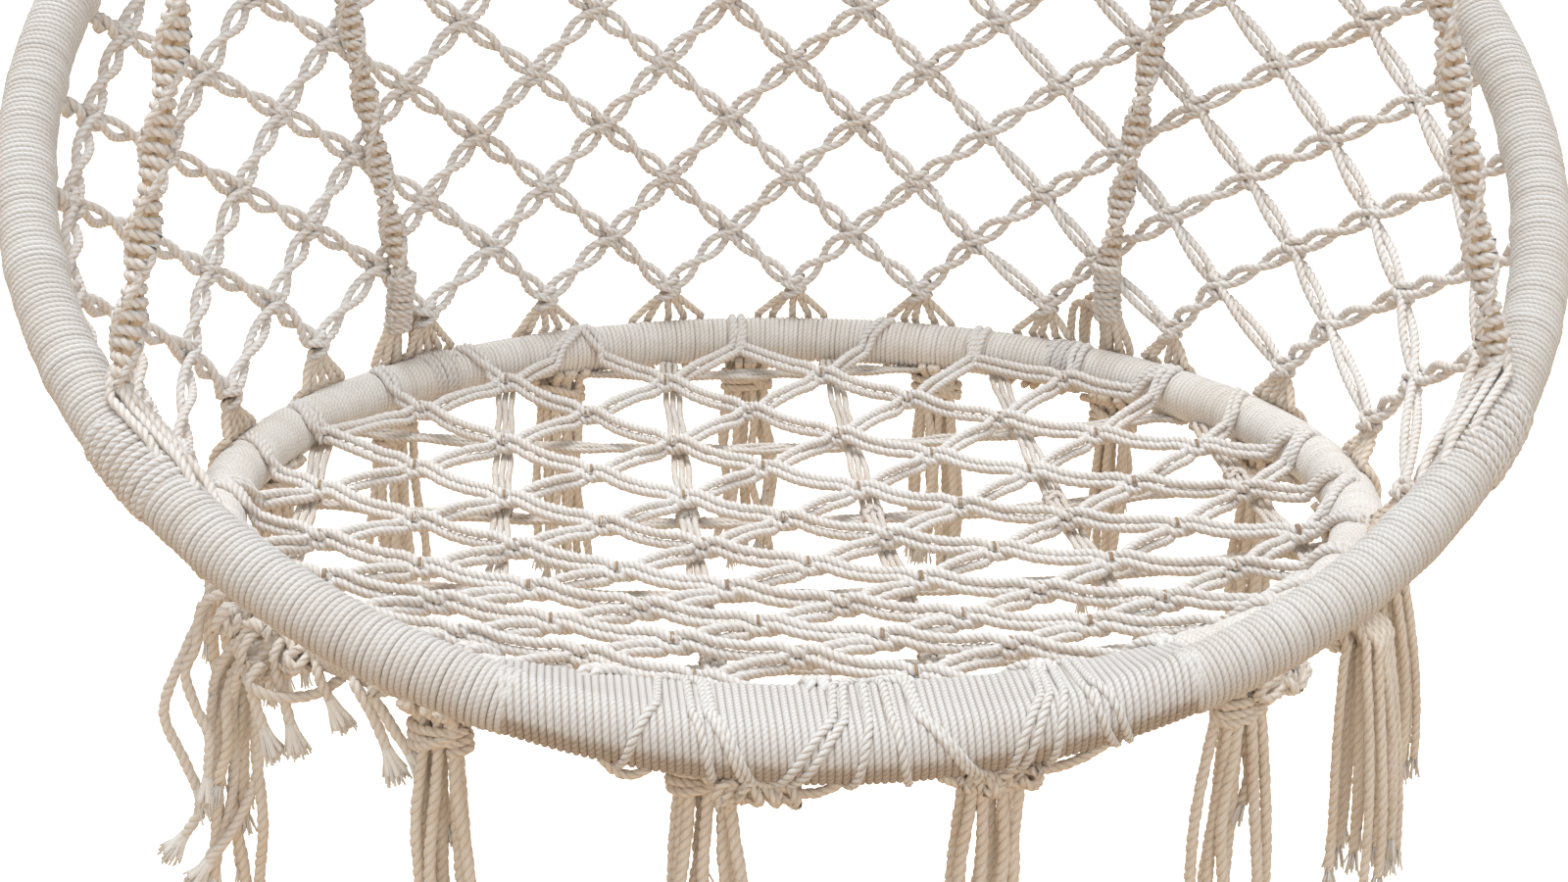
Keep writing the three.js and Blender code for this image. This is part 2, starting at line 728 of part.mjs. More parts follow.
addPiece(seatFrame, 'back_hoop_tube', hoopTube(backHoop), steel);
addPiece(seatFrame, 'back_hoop_wrap', hoopWrap(backHoop), cotton);
addPiece(seatFrame, 'seat_hoop_tube', hoopTube(seatHoop), steel);
addPiece(seatFrame, 'seat_hoop_wrap', hoopWrap(seatHoop), cotton);
addPiece(seatFrame, 'front_binding', frontBinding(), cotton);
addPiece(seatFrame, 'back_net', backNet(), cotton);
addPiece(seatFrame, 'seat_net', seatNet(), cotton);
addPiece(seatFrame, 'support_web', supportWeb(), cottonShade);

// The ropes end just under the crown, side by side, and each starts on the middle line of its hoop.
const crownUnder = hangHeight + crownPiece.bottom - clearance;
const ropeTopX = (ropeWidth + clearance) / 2 + clearance;
const ropeTopY = (ropeWidth + clearance) / 2 + clearance;
function ropeEnd(sideX, sideY) {
    const x = sideX * ropeTopX;
    const y = sideY * ropeTopY - seatForward;
    return [vector(x, y, crownUnder - ropeWidth), vector(x, y, crownUnder)];
}

for (const [label, side] of [['left', -1], ['right', 1]]) {
    const foot = hoopPoint(backHoop, side * radians(frontRopeAngle));
    const frontTop = ropeEnd(side, -1);
    const half = foot.clone().lerp(frontTop[0], 0.5);
    half.x += side * frontRopeBow;
    addPiece(
        seatFrame, `front_${label}_rope`, rope([foot, half, ...frontTop], [backWrapEnvelope]), cotton,
    );
    const high = hoopPoint(backHoop, side * radians(rearRopeAngle));
    addPiece(
        seatFrame, `rear_${label}_rope`, rope([high, ...ropeEnd(side, 1)], [backWrapEnvelope]), cotton,
    );
    const low = hoopPoint(seatHoop, side * radians(rearRopeAngle));
    const beforeNet = (netThickness + ropeDepth) / 2 + tieGap;
    const shift = wallNormal(side * (Math.PI - radians(rearRopeAngle)) * seatRadius, high.z / 2)
        .multiplyScalar(beforeNet);
    const tiePoints = [low, low.clone().lerp(high, 0.5), high.clone()].map((p) => p.clone().add(shift));
    addPiece(
        seatFrame, `rear_${label}_tie`,
        rope(tiePoints, [seatWrapEnvelope, backWrapEnvelope]), cotton,
    );
}

let leastGap = Infinity;
for (const place of lashings) {
    const made = windLashing(place);
    leastGap = Math.min(leastGap, made.least);
    addPiece(seatFrame, place.name, made.geometry, cotton);
}

for (let i = 0; i < tasselCount; i += 1) {
    const angle = Math.PI + (2 * Math.PI * i) / tasselCount;
    addPiece(seatFrame, `tassel_${String(i + 1).padStart(2, '0')}`, tassel(angle), cottonShade);
}

console.log(`least gap between a lashing's turns: ${leastGap.toFixed(2)} mm`);

export default chair;
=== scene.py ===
# %% [markdown]
# Hammock chair in knotted cotton cord.
# Two steel hoops are wound with cord and bound together at the front. A knotted net joins them at the
# back, a looped net fills the seat, and four knotted ropes carry everything from one steel ring.
# Nearly all that the eye sees is cord, so the lesson is about laying cord: first its twisted shape,
# then the paths that it takes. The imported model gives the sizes, and every piece stays on it.

# %% Load the frame
import itertools
import json
import math
import random

import bmesh
import bpy
from mathutils import Matrix, Vector

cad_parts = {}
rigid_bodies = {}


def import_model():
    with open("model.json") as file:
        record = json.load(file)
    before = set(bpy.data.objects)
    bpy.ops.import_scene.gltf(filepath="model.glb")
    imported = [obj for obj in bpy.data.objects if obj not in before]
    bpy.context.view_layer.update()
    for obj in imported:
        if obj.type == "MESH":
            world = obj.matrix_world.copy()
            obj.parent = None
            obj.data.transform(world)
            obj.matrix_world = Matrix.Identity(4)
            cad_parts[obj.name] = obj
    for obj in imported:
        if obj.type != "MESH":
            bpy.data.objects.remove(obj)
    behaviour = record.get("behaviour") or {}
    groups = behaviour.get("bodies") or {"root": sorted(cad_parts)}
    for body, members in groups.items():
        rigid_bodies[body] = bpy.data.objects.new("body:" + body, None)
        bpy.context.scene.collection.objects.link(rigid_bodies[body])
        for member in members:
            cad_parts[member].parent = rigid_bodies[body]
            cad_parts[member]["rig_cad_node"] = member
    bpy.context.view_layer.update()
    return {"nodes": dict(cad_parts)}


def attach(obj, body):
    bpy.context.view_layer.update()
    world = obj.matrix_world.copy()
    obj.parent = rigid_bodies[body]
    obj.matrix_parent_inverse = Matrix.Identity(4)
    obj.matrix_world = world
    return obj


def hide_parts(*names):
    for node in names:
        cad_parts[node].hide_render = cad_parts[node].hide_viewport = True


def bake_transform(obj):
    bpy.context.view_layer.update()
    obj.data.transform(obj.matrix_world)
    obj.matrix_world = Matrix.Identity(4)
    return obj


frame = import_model()

# %% [markdown]
# Every path below is worked out in millimetres from the middle of the seat hoop, as a maker would
# measure it, and turned into metres only when the mesh is made. The seat's middle hangs below the
# ring, so one shift takes a point from the chair's own measures to the frame's.

# %% The chair's measures
MM = 0.001
UP = Vector((0.0, 0.0, 1.0))
SEAT_MIDDLE = Vector((0.0, -3.4, -1500.0))
SEAT_RADIUS, BACK_RADIUS = 304.0, 385.0  # to the tubes' middles
TUBE_RADIUS, WRAP_RADIUS = 11.0, 15.0
TILT = math.radians(34.0)  # the back hoop's lean
HOOP_GAP, GAP_DIP = 24.0, math.radians(10.0)  # between the tubes' middles at the front
BINDING_HALF = 150.0
BACK_FRONT = Vector((0.0, -SEAT_RADIUS - HOOP_GAP * math.cos(GAP_DIP), -HOOP_GAP * math.sin(GAP_DIP)))


def in_frame(point):
    return (point + SEAT_MIDDLE) * MM


def limited(value, low=0.0, high=1.0):
    return max(low, min(high, value))


def full_turn(parts):
    """The angles of one turn, with the first one again at the end."""
    return [2 * math.pi * part / parts for part in range(parts + 1)]


# %% [markdown]
# Wraps, knots and tassels all sit on one of the two hoops. A small class answers the questions that
# they ask: where the tube's middle is at an angle from the front, which way is outward or along it,
# and where a point on the surface round the tube is.

# %% The two hoops


class Hoop:
    """A circle with its middle, its radius and the tilt of its plane."""

    def __init__(self, centre, radius, rise):
        self.centre, self.radius = centre, radius
        self.back = Vector((0.0, math.cos(rise), math.sin(rise)))
        self.normal = Vector((0.0, -math.sin(rise), math.cos(rise)))

    def out(self, angle):
        """The outward direction at an angle from the front, positive towards +X."""
        return Vector((1.0, 0.0, 0.0)) * math.sin(angle) - self.back * math.cos(angle)

    def at(self, angle):
        return self.centre + self.out(angle) * self.radius

    def along(self, angle):
        return Vector((1.0, 0.0, 0.0)) * math.cos(angle) + self.back * math.sin(angle)

    def round_it(self, angle, section, reach, shift=0.0):
        """A point on a circle of the given reach round the tube, section 0 outward and 90 degrees up."""
        turned = angle + shift / self.radius
        side = self.out(turned) * math.cos(section) + self.normal * math.sin(section)
        return self.at(turned) + side * reach


def near_hoop(point, hoop):
    """A point's distance from the middle of a hoop's tube, and its angle from the front."""
    local = point - hoop.centre
    rise = local.dot(hoop.normal)
    flat = local - hoop.normal * rise
    angle = math.atan2(flat.x, -flat.dot(hoop.back))
    return math.hypot(flat.length - hoop.radius, rise), angle


seat_hoop = Hoop(Vector((0.0, 0.0, 0.0)), SEAT_RADIUS, 0.0)
to_back_middle = Vector((0.0, BACK_RADIUS * math.cos(TILT), BACK_RADIUS * math.sin(TILT)))
back_hoop = Hoop(BACK_FRONT + to_back_middle, BACK_RADIUS, TILT)
print("back hoop's top", [round(value, 1) for value in back_hoop.at(math.pi)])

# %% [markdown]
# The cotton is undyed: a warm off-white that goes tan where light can't reach between the strands.
# One node group makes that fibre look from a groove mask, so that the wraps, nets and tassels can
# share it and differ only in their colours and in how strongly they are marked.

# %% Helpers for node groups


def new_group(name, inputs, outputs):
    tree = bpy.data.node_groups.new(name, "ShaderNodeTree")
    for label, kind, value in inputs:
        socket = tree.interface.new_socket(label, in_out="INPUT", socket_type=kind)
        if value is not None:
            socket.default_value = value
    for label, kind in outputs:
        tree.interface.new_socket(label, in_out="OUTPUT", socket_type=kind)
    return tree, tree.nodes.new("NodeGroupInput"), tree.nodes.new("NodeGroupOutput")


def node(tree, kind, settings=None, values=None):
    made = tree.nodes.new(kind)
    for key, value in (settings or {}).items():
        setattr(made, key, value)
    for key, value in (values or {}).items():
        made.inputs[key].default_value = value
    return made


def maths(tree, operation, *terms):
    """A Math node whose terms are numbers or sockets."""
    made = node(tree, "ShaderNodeMath", {"operation": operation})
    for place, term in enumerate(terms):
        if isinstance(term, (int, float)):
            made.inputs[place].default_value = term
        else:
            tree.links.new(term, made.inputs[place])
    return made.outputs[0]


# %% The fibre node group
SPECKS, HAIR_RELIEF = 0.35, 0.5
LEAST_ROUGH, ROUGHER = 0.86, 0.12

fibre, taken, given = new_group(
    "Cotton fibre",
    [
        ("Light", "NodeSocketColor", (0.86, 0.80, 0.70, 1.0)),
        ("Shade", "NodeSocketColor", (0.55, 0.42, 0.28, 1.0)),
        ("Groove", "NodeSocketFloat", 0.0),
        ("Groove strength", "NodeSocketFloat", 0.6),
        ("Patchiness", "NodeSocketFloat", 0.35),
    ],
    [("Color", "NodeSocketColor"), ("Roughness", "NodeSocketFloat"), ("Height", "NodeSocketFloat")],
)
link = fibre.links.new
place = node(fibre, "ShaderNodeTexCoord")
patches = node(fibre, "ShaderNodeTexNoise", None, {"Scale": 22.0, "Detail": 3.0, "Roughness": 0.6})
hairs = node(fibre, "ShaderNodeTexNoise", None, {"Scale": 1500.0, "Detail": 2.0, "Roughness": 0.6})
link(place.outputs["Object"], patches.inputs["Vector"])
link(place.outputs["Object"], hairs.inputs["Vector"])
patch_mask = node(fibre, "ShaderNodeMapRange", None, {"From Min": 0.42, "From Max": 0.68})
link(patches.outputs["Fac"], patch_mask.inputs["Value"])
groove = maths(fibre, "MULTIPLY", taken.outputs["Groove"], taken.outputs["Groove strength"])
patchy = maths(fibre, "MULTIPLY", patch_mask.outputs["Result"], taken.outputs["Patchiness"])
speck = maths(fibre, "MULTIPLY", maths(fibre, "SUBTRACT", hairs.outputs["Fac"], 0.5), SPECKS)
mark = maths(fibre, "ADD", maths(fibre, "ADD", groove, patchy), speck)
in_range = node(fibre, "ShaderNodeClamp")
link(mark, in_range.inputs["Value"])
tint = node(fibre, "ShaderNodeMix", {"data_type": "RGBA"})
link(in_range.outputs["Result"], tint.inputs["Factor"])
link(taken.outputs["Light"], tint.inputs["A"])
link(taken.outputs["Shade"], tint.inputs["B"])
link(tint.outputs["Result"], given.inputs["Color"])
link(maths(fibre, "MULTIPLY_ADD", hairs.outputs["Fac"], ROUGHER, LEAST_ROUGH), given.inputs["Roughness"])
fuzz = maths(fibre, "MULTIPLY", hairs.outputs["Fac"], HAIR_RELIEF)
link(maths(fibre, "SUBTRACT", fuzz, taken.outputs["Groove"]), given.inputs["Height"])
print("fibre group", len(fibre.nodes), "nodes")

# %% [markdown]
# Thin cord that is wound hundreds of times can't afford real strands, so the twist is drawn on it.
# A cord's mesh has a UV map that runs along it and round it. A slanting stripe of that map, as many
# times as the cord has twists, is the valley between two of its three strands.

# %% The twist node group
VALLEY_SHARPNESS = 2.2

twist, taken, given = new_group(
    "Cord twist",
    [("Twists", "NodeSocketFloat", 100.0), ("Strands", "NodeSocketFloat", 3.0)],
    [("Valley", "NodeSocketFloat")],
)
cord_map = node(twist, "ShaderNodeUVMap", {"uv_map": "cord"})
parts = node(twist, "ShaderNodeSeparateXYZ")
twist.links.new(cord_map.outputs["UV"], parts.inputs["Vector"])
turns = maths(twist, "MULTIPLY", parts.outputs["X"], taken.outputs["Twists"])
slanted = maths(twist, "ADD", turns, parts.outputs["Y"])
stripe = maths(twist, "FRACT", maths(twist, "MULTIPLY", slanted, taken.outputs["Strands"]))
ridge = maths(twist, "ABSOLUTE", maths(twist, "SUBTRACT", stripe, 0.5))
valley = maths(twist, "POWER", maths(twist, "MULTIPLY", ridge, 2.0), VALLEY_SHARPNESS)
twist.links.new(valley, given.inputs["Valley"])
print("twist group", len(twist.nodes), "nodes")

# %% [markdown]
# Each finish is one Principled shader with the fibre group before it. Cotton has next to no gloss, and
# a little sheen stands for its loose hairs. The mesh carries a mask of its own valleys, which marks
# the grooves. A drawn twist adds to that mask at about half its strength.

# %% The cotton finishes
DRAWN_TWIST = 0.45
BUMP_DEPTH = 0.0004  # metres
GLOSS, SHEEN, SHEEN_ROUGHNESS = 0.15, 0.15, 0.6


def cotton(name, light, shade, strength, patchiness, twists=None, relief=0.6):
    """A cotton finish: its two colours, how strongly grooves and patches mark it, and any twists."""
    made = bpy.data.materials.new(name)
    made.use_nodes = True
    tree = made.node_tree
    link = tree.links.new
    surface = tree.nodes["Principled BSDF"]
    colours = {"Light": (*light, 1.0), "Shade": (*shade, 1.0)}
    marks = {"Groove strength": strength, "Patchiness": patchiness}
    look = node(tree, "ShaderNodeGroup", {"node_tree": fibre}, colours | marks)
    groove = node(tree, "ShaderNodeAttribute", {"attribute_name": "valley"}).outputs["Fac"]
    if twists is not None:
        drawn = node(tree, "ShaderNodeGroup", {"node_tree": twist}, {"Twists": twists})
        groove = maths(tree, "MULTIPLY_ADD", drawn.outputs["Valley"], DRAWN_TWIST, groove)
    link(groove, look.inputs["Groove"])
    bump = node(tree, "ShaderNodeBump", None, {"Strength": relief, "Distance": BUMP_DEPTH})
    link(look.outputs["Height"], bump.inputs["Height"])
    link(look.outputs["Color"], surface.inputs["Base Color"])
    link(look.outputs["Roughness"], surface.inputs["Roughness"])
    link(bump.outputs["Normal"], surface.inputs["Normal"])
    surface.inputs["Specular IOR Level"].default_value = GLOSS
    surface.inputs["Sheen Weight"].default_value = SHEEN
    surface.inputs["Sheen Roughness"].default_value = SHEEN_ROUGHNESS
    return made


LIGHT, SEAT_WRAP_PAINTED_LIGHT = (0.83, 0.828, 0.82), (0.96, 0.95, 0.93)
# Both tans are mixed in as painted shade in grooves and on undersides, and as random patches of tone.
TAN, PAINTED_SHADE = (0.66, 0.48, 0.32), (0.48, 0.35, 0.23)
net_cotton = cotton("Net cotton", (0.95, 0.94, 0.925), TAN, 0.38, 0.22)
# The feet's warmer tan is painted shade, for cords that lie behind the seat hoop.
shaded_foot_cotton = cotton("Net foot cotton in painted shade", (0.95, 0.86, 0.75), TAN, 0.45, 0.3)
# The web's darker colour is painted shade, for lying under the seat net.
shaded_web_cotton = cotton("Support web cotton in painted shade", (0.86, 0.83, 0.79), TAN, 0.42, 0.25)
seat_cotton = cotton("Seat net cotton", (0.91, 0.905, 0.895), TAN, 0.5, 0.12)
hook_shade_cotton = cotton("Hook shade cotton", (0.44, 0.32, 0.21), (0.3, 0.2, 0.13), 0.4, 0.1)
rope_cotton = cotton("Rope cotton", (0.92, 0.905, 0.885), TAN, 0.45, 0.22)
fringe_cotton = cotton("Fringe cotton", (0.92, 0.85, 0.755), TAN, 0.36, 0.28)
brush_cotton = cotton("Frayed cotton", (0.98, 0.965, 0.93), (0.86, 0.76, 0.64), 0.2, 0.2)
under_cotton = cotton("Under knot cotton", (0.84, 0.76, 0.66), TAN, 0.5, 0.3)
crossing_cotton = cotton("Crossing cord cotton", (0.86, 0.855, 0.84), PAINTED_SHADE, 0.6, 0.1)
lashing_cotton = cotton("Lashing cotton", LIGHT, TAN, 0.5, 0.15)
corner_cotton = cotton("Corner fringe cotton", (0.94, 0.90, 0.84), TAN, 0.3, 0.2)
# Shaded cotton is painted shade: a dark tan for the sleeves under the wraps and the ropes' cores, seen only
# in the gaps.
shaded_cotton = cotton("Shaded cotton", (0.64, 0.48, 0.32), (0.42, 0.28, 0.16), 0.4, 0.3)
print("cotton finishes", len(bpy.data.materials))

# %% [markdown]
# A cord is three strands twisted together. Cut across, it is a clover, and the clover turns as it
# goes along. A curve does just that: its bevel is the clover, and the tilt of its points is the
# twist. Cord that is too thin for strands gets a plain round section instead.

# %% A cord's cross-section
CLOVER = [
    (120 * lobe + turn, reach) for lobe in range(3) for turn, reach in ((-30, 0.98), (30, 0.98), (60, 0.79))
]


def polygon(sides):
    return [(360 / sides * corner, 1.0) for corner in range(sides)]


HAIR, ROUND, HEAVY_ROUND, SLEEVE = polygon(3), polygon(6), polygon(8), polygon(16)


def add_object(name, data):
    made = bpy.data.objects.new(name, data)
    bpy.context.scene.collection.objects.link(made)
    return made


def outline_curve(outline, radius):
    """The cord's cross-section, as the closed curve that a bevel takes."""
    shape = bpy.data.curves.new("cord section", "CURVE")
    spline = shape.splines.new("POLY")
    spline.points.add(len(outline) - 1)
    for point, (degrees, reach) in zip(spline.points, outline):
        angle = math.radians(degrees)
        point.co = (radius * reach * math.cos(angle), radius * reach * math.sin(angle), 0.0, 1.0)
    spline.use_cyclic_u = True
    return add_object("cord section", shape)


print("clover", len(CLOVER), "corners, round cord", len(ROUND), "or", len(HEAVY_ROUND))

# %% A cord's path


def path_length(path):
    return sum((after - before).length for before, after in zip(path, path[1:]))


def evenly(path, step):
    """The same path with its points a step apart, and its length."""
    gone = [0.0]
    for before, after in zip(path, path[1:]):
        gone.append(gone[-1] + (after - before).length)
    count = max(2, round(gone[-1] / step))
    points, place = [], 0
    for number in range(count + 1):
        wanted = gone[-1] * number / count
        while place < len(path) - 2 and gone[place + 1] < wanted:
            place += 1
        span = max(gone[place + 1] - gone[place], 1e-9)
        points.append(path[place].lerp(path[place + 1], min(1.0, (wanted - gone[place]) / span)))
    return points, gone[-1]


def curve_through(points, parts=60):
    """A smooth path through a few points (Catmull-Rom)."""
    ends = [points[0] * 2 - points[1]] + points + [points[-1] * 2 - points[-2]]
    path = []
    for a, b, c, d in zip(ends, ends[1:], ends[2:], ends[3:]):
        for number in range(parts):
            t = number / parts
            square, cube = (2 * a - 5 * b + 4 * c - d) * t * t, (3 * b - a - 3 * c + d) * t ** 3
            path.append(0.5 * ((2 * b) + (c - a) * t + square + cube))
    return path + [points[-1]]


# %% [markdown]
# The curve is made a mesh at once, because a mesh can carry a mask of the valleys between the strands
# for the material to read. The undersides are marked too, but weakly, as painted shade: they stay tan
# below the lit tops.

# %% Laying cord
STRAND_LEAD = 2.4  # radians by which each further cord's strands start ahead
TURN_PER_THICKNESS = 2.6
# painted shade on a cord's underside: how strong, and from what slope of its normal
UNDERSIDE_SHADE, UNDERSIDE_SHADE_FROM = 0.7, 0.1


def cord_curve(name, paths, section, step, pitch):
    """The paths as one beveled curve, whose points tilt once round in each pitch, and its length."""
    data = bpy.data.curves.new(name, "CURVE")
    data.dimensions = "3D"
    data.bevel_mode = "OBJECT"
    data.bevel_object = section
    data.use_fill_caps = True
    total = 0.0
    for number, path in enumerate(paths):
        points, length = evenly(path, step)
        total += length
        spline = data.splines.new("POLY")
        spline.points.add(len(points) - 1)
        for place, (point, put) in enumerate(zip(points, spline.points)):
            put.co = (*in_frame(point), 1.0)
            if pitch:
                turned = 2 * math.pi * length * place / (len(points) * pitch)
                put.tilt = (turned + number * STRAND_LEAD) % (2 * math.pi)
    return data, total


def mark_valleys(mesh, outline):
    reaches = [reach for _, reach in outline]
    high, low = max(reaches), min(reaches)
    depth = [(high - reach) / (high - low) if high > low else 0.0 for reach in reaches]
    valley = mesh.attributes.new("valley", "FLOAT", "POINT")
    valley.data.foreach_set("value", [depth[place % len(outline)] for place in range(len(mesh.vertices))])


# Painted shade: a cord's undersides are marked so that they go tan.
def mark_undersides(mesh):
    valley = mesh.attributes["valley"].data
    marks = [0.0] * len(mesh.vertices)
    valley.foreach_get("value", marks)
    below = [max(0.0, UNDERSIDE_SHADE_FROM - vert.normal.z) for vert in mesh.vertices]
    valley.foreach_set("value", [mark + UNDERSIDE_SHADE * share for mark, share in zip(marks, below)])


def close_and_smooth(work):
    """Merges a bmesh's doubles, turns its faces outwards and smooths them."""
    bmesh.ops.remove_doubles(work, verts=work.verts, dist=1e-6)
    bmesh.ops.recalc_face_normals(work, faces=work.faces)
    for face in work.faces:
        face.smooth = True


def lay_cord(name, paths, thickness, finish, step=2.2, pitch=None, outline=CLOVER):
    """Cord along each path, in millimetres from the seat hoop's middle: one mesh piece, and its length."""
    section = outline_curve(outline, thickness / 2 * MM)
    twisted = outline is CLOVER
    pitch = (pitch or TURN_PER_THICKNESS * thickness) if twisted else None
    data, total = cord_curve(name, paths, section, step, pitch)
    loose = add_object(name + " path", data)
    bpy.context.view_layer.update()
    mesh = bpy.data.meshes.new_from_object(loose.evaluated_get(bpy.context.evaluated_depsgraph_get()))
    bpy.data.objects.remove(loose)
    bpy.data.objects.remove(section)
    mesh.name = name
    mark_valleys(mesh, outline)
    work = bmesh.new()
    work.from_mesh(mesh)
    close_and_smooth(work)
    work.to_mesh(mesh)
    work.free()
    if twisted:
        mark_undersides(mesh)
    if mesh.uv_layers:
        mesh.uv_layers[0].name = "cord"
    mesh.materials.clear()
    mesh.materials.append(finish)
    piece = add_object(name, mesh)
    triangles = sum(len(face.vertices) - 2 for face in mesh.polygons)
    print(f"{name}: {total / 1000:.2f} m of cord, {triangles} triangles")
    return piece, total


def carried(pieces, body):
    """Gives pieces the body that they move with."""
    for piece in pieces:
        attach(piece, body)


# %% [markdown]
# The back net lies on the slanting wall between the hoops. Its meshes are diamonds, and each side of
# a diamond is two cords that open into an eye, cross, and open again. Both cords follow one flattened
# spiral half a turn apart, which gives the eyes and the crossing with nothing passing through
# anything. Where the wall turns away at the right side, one of the two directions runs straight.

# %% The wall and its lattice
MESH_WIDTH, MESH_HEIGHT, FIRST_ROW = 75.4, 74.8, 36.5
LATTICE_SHIFT = -10.6
LAST_COLUMN, TOP_ROW = 16, 14
SIDE_WIDENING, SIDE_LOWERING, FOOT_SPREAD = 0.00113, 0.0132, 2.7
RAISED_BY, RAISED_COLUMN, RAISED_WIDTH = 5.0, -6, 2.5
KNOT_CLEARANCE = 14
PROBE = 19  # how far from a knot the wall's slope is measured


def wall(arc, height):
    angle = math.pi - arc / SEAT_RADIUS
    low, high = seat_hoop.at(angle), back_hoop.at(angle)
    return low.lerp(high, height / high.z)


def wall_normal(arc, height):
    across = wall(arc + PROBE, height) - wall(arc - PROBE, height)
    up = wall(arc, height + PROBE) - wall(arc, height - PROBE)
    return across.cross(up).normalized()


def lattice(column, row):
    size = abs(column)
    arc = LATTICE_SHIFT + MESH_WIDTH / 2 * column * (1 + SIDE_WIDENING * size * size)
    if row == 0:
        arc += FOOT_SPREAD * column
    uneven = RAISED_BY * math.exp(-(((column - RAISED_COLUMN) / RAISED_WIDTH) ** 2))
    height = FIRST_ROW + uneven + MESH_HEIGHT / 2 * row * (1 - SIDE_LOWERING * size)
    return arc, height


net_knots = {}
for column in range(-LAST_COLUMN, LAST_COLUMN + 1):
    for row in range(abs(column + 1) % 2, TOP_ROW, 2):
        arc, height = lattice(column, row)
        spot = wall(arc, height)
        distance, angle = near_hoop(spot, back_hoop)
        if height > back_hoop.at(angle).z or distance < WRAP_RADIUS + KNOT_CLEARANCE:
            break
        net_knots[column, row] = (spot, wall_normal(arc, height), arc)
print("knots in the back net", len(net_knots))

# %% [markdown]
# Three helpers draw the net's parts: the twined pair from knot to knot, the three bars of a knot, and
# the fan of cords below a lowest knot. A pair that ends at a hoop is tucked under the hoop's wrap, and
# the place is noted, because the wrap swells over it later.

# %% The net's cords and knots
NET_CORD = 5.5
KNOT_BARS = ((4.3, 1, 0.86), (0.0, -1, 1.0), (-4.3, 1, 0.86))  # height, which way it leans, width
KNOT_WIDE, KNOT_DEEP, KNOT_LEAN = 7.0, 5.4, 2.2
FAN = (-24.0, -12.5, 0.0, 12.0, 23.0)
FAN_LANDING, FAN_TURN, FAN_REACH = 1.15, 0.26, WRAP_RADIUS + 2.3
chance = random.Random(7)
tied_on = {seat_hoop: [], back_hoop: []}


def twined(start, start_normal, end, end_normal, eye, turns=1.0, phase=0.0, parts=16):
    """Two cords from one knot to the next: a flat spiral whose cords cross between the eyes."""
    way = end - start
    pair = ([], [])
    for number in range(parts + 1):
        share = number / parts
        normal = start_normal.lerp(end_normal, share).normalized()
        side = way.cross(normal).normalized()
        angle = 2 * math.pi * turns * share + phase
        spot = start.lerp(end, share)
        for cord, flip in zip(pair, (1, -1)):
            aside = side * (flip * eye * math.sin(angle))
            cord.append(spot + aside + normal * (flip * NET_CORD * 0.5 * math.cos(angle)))
    return pair


def knot_rings(spot, normal, slope):
    """The bars of a knot, one above the other, round the cords that pass through it."""
    up = (UP - normal * UP.dot(normal)).normalized()
    side = up.cross(normal).normalized()
    rings = []
    for lift, lean, wide in KNOT_BARS:
        ring = []
        for angle in full_turn(16):
            flat = side * (KNOT_WIDE * wide * math.cos(angle)) + normal * (KNOT_DEEP * wide * math.sin(angle))
            ring.append(spot + flat + up * (lift + lean * slope * math.cos(angle)))
        rings.append(ring)
    return rings


def tucked(hoop, tail):
    """From a point near a hoop, under the turns of its wrap."""
    _, angle = near_hoop(tail, hoop)
    toward = tail - hoop.at(angle)
    section = math.atan2(toward.dot(hoop.normal), toward.dot(hoop.out(angle)))
    tied_on[hoop].append((angle, section))
    return [hoop.round_it(angle, section, WRAP_RADIUS - depth) for depth in (0.5, 3.2)]


def fan(spot, normal, arc, narrow):
    """The cords below a lowest knot: they spread, pass behind the seat hoop and turn under it."""
    runs = []
    for spread in (place * narrow for place in FAN):
        angle = math.pi - (arc + spread + chance.uniform(-2, 2)) / SEAT_RADIUS
        start = spot - UP * 3 + seat_hoop.along(angle) * (-0.12 * spread) + normal * chance.uniform(-2, 2)
        landing = seat_hoop.round_it(angle, FAN_LANDING, FAN_REACH)
        run = [start, start.lerp(landing, 0.5) + seat_hoop.out(angle) * 1.5, landing]
        for k in range(1, 12):
            section = FAN_LANDING - FAN_TURN * k
            run.append(seat_hoop.round_it(angle, section, FAN_REACH, chance.uniform(-0.3, 0.3)))
        runs.append(run)
    return runs


# %% [markdown]
# Every knot sends one pair up to each side. Where the lattice has no knot for it any more, the pair
# goes on in the same direction until it meets a hoop. Cords are sorted by the column that they lie in.

# %% The paths of the net's cords
STRIDE, TOUCHING = 1.5, 2.5
EYE, EYE_AT_HOOP, EYE_LENGTH = 3.9, 3.6, 26.0
STRAIGHT_EYE, STRAIGHT_AFTER = 3.0, 4
FAN_NARROWING = 0.05


def on_to_hoop(spot, goal, hoops, strides):
    """From a knot towards a goal until a wrap is met: the place, the hoop, and whether it was met."""
    way = (goal - spot).normalized()
    reached = spot
    for _ in range(strides):
        reached = reached + way * STRIDE
        hoop = min(hoops, key=lambda one: near_hoop(reached, one)[0])
        if near_hoop(reached, hoop)[0] < WRAP_RADIUS + TOUCHING:
            return reached, hoop, True
    return reached, hoop, False


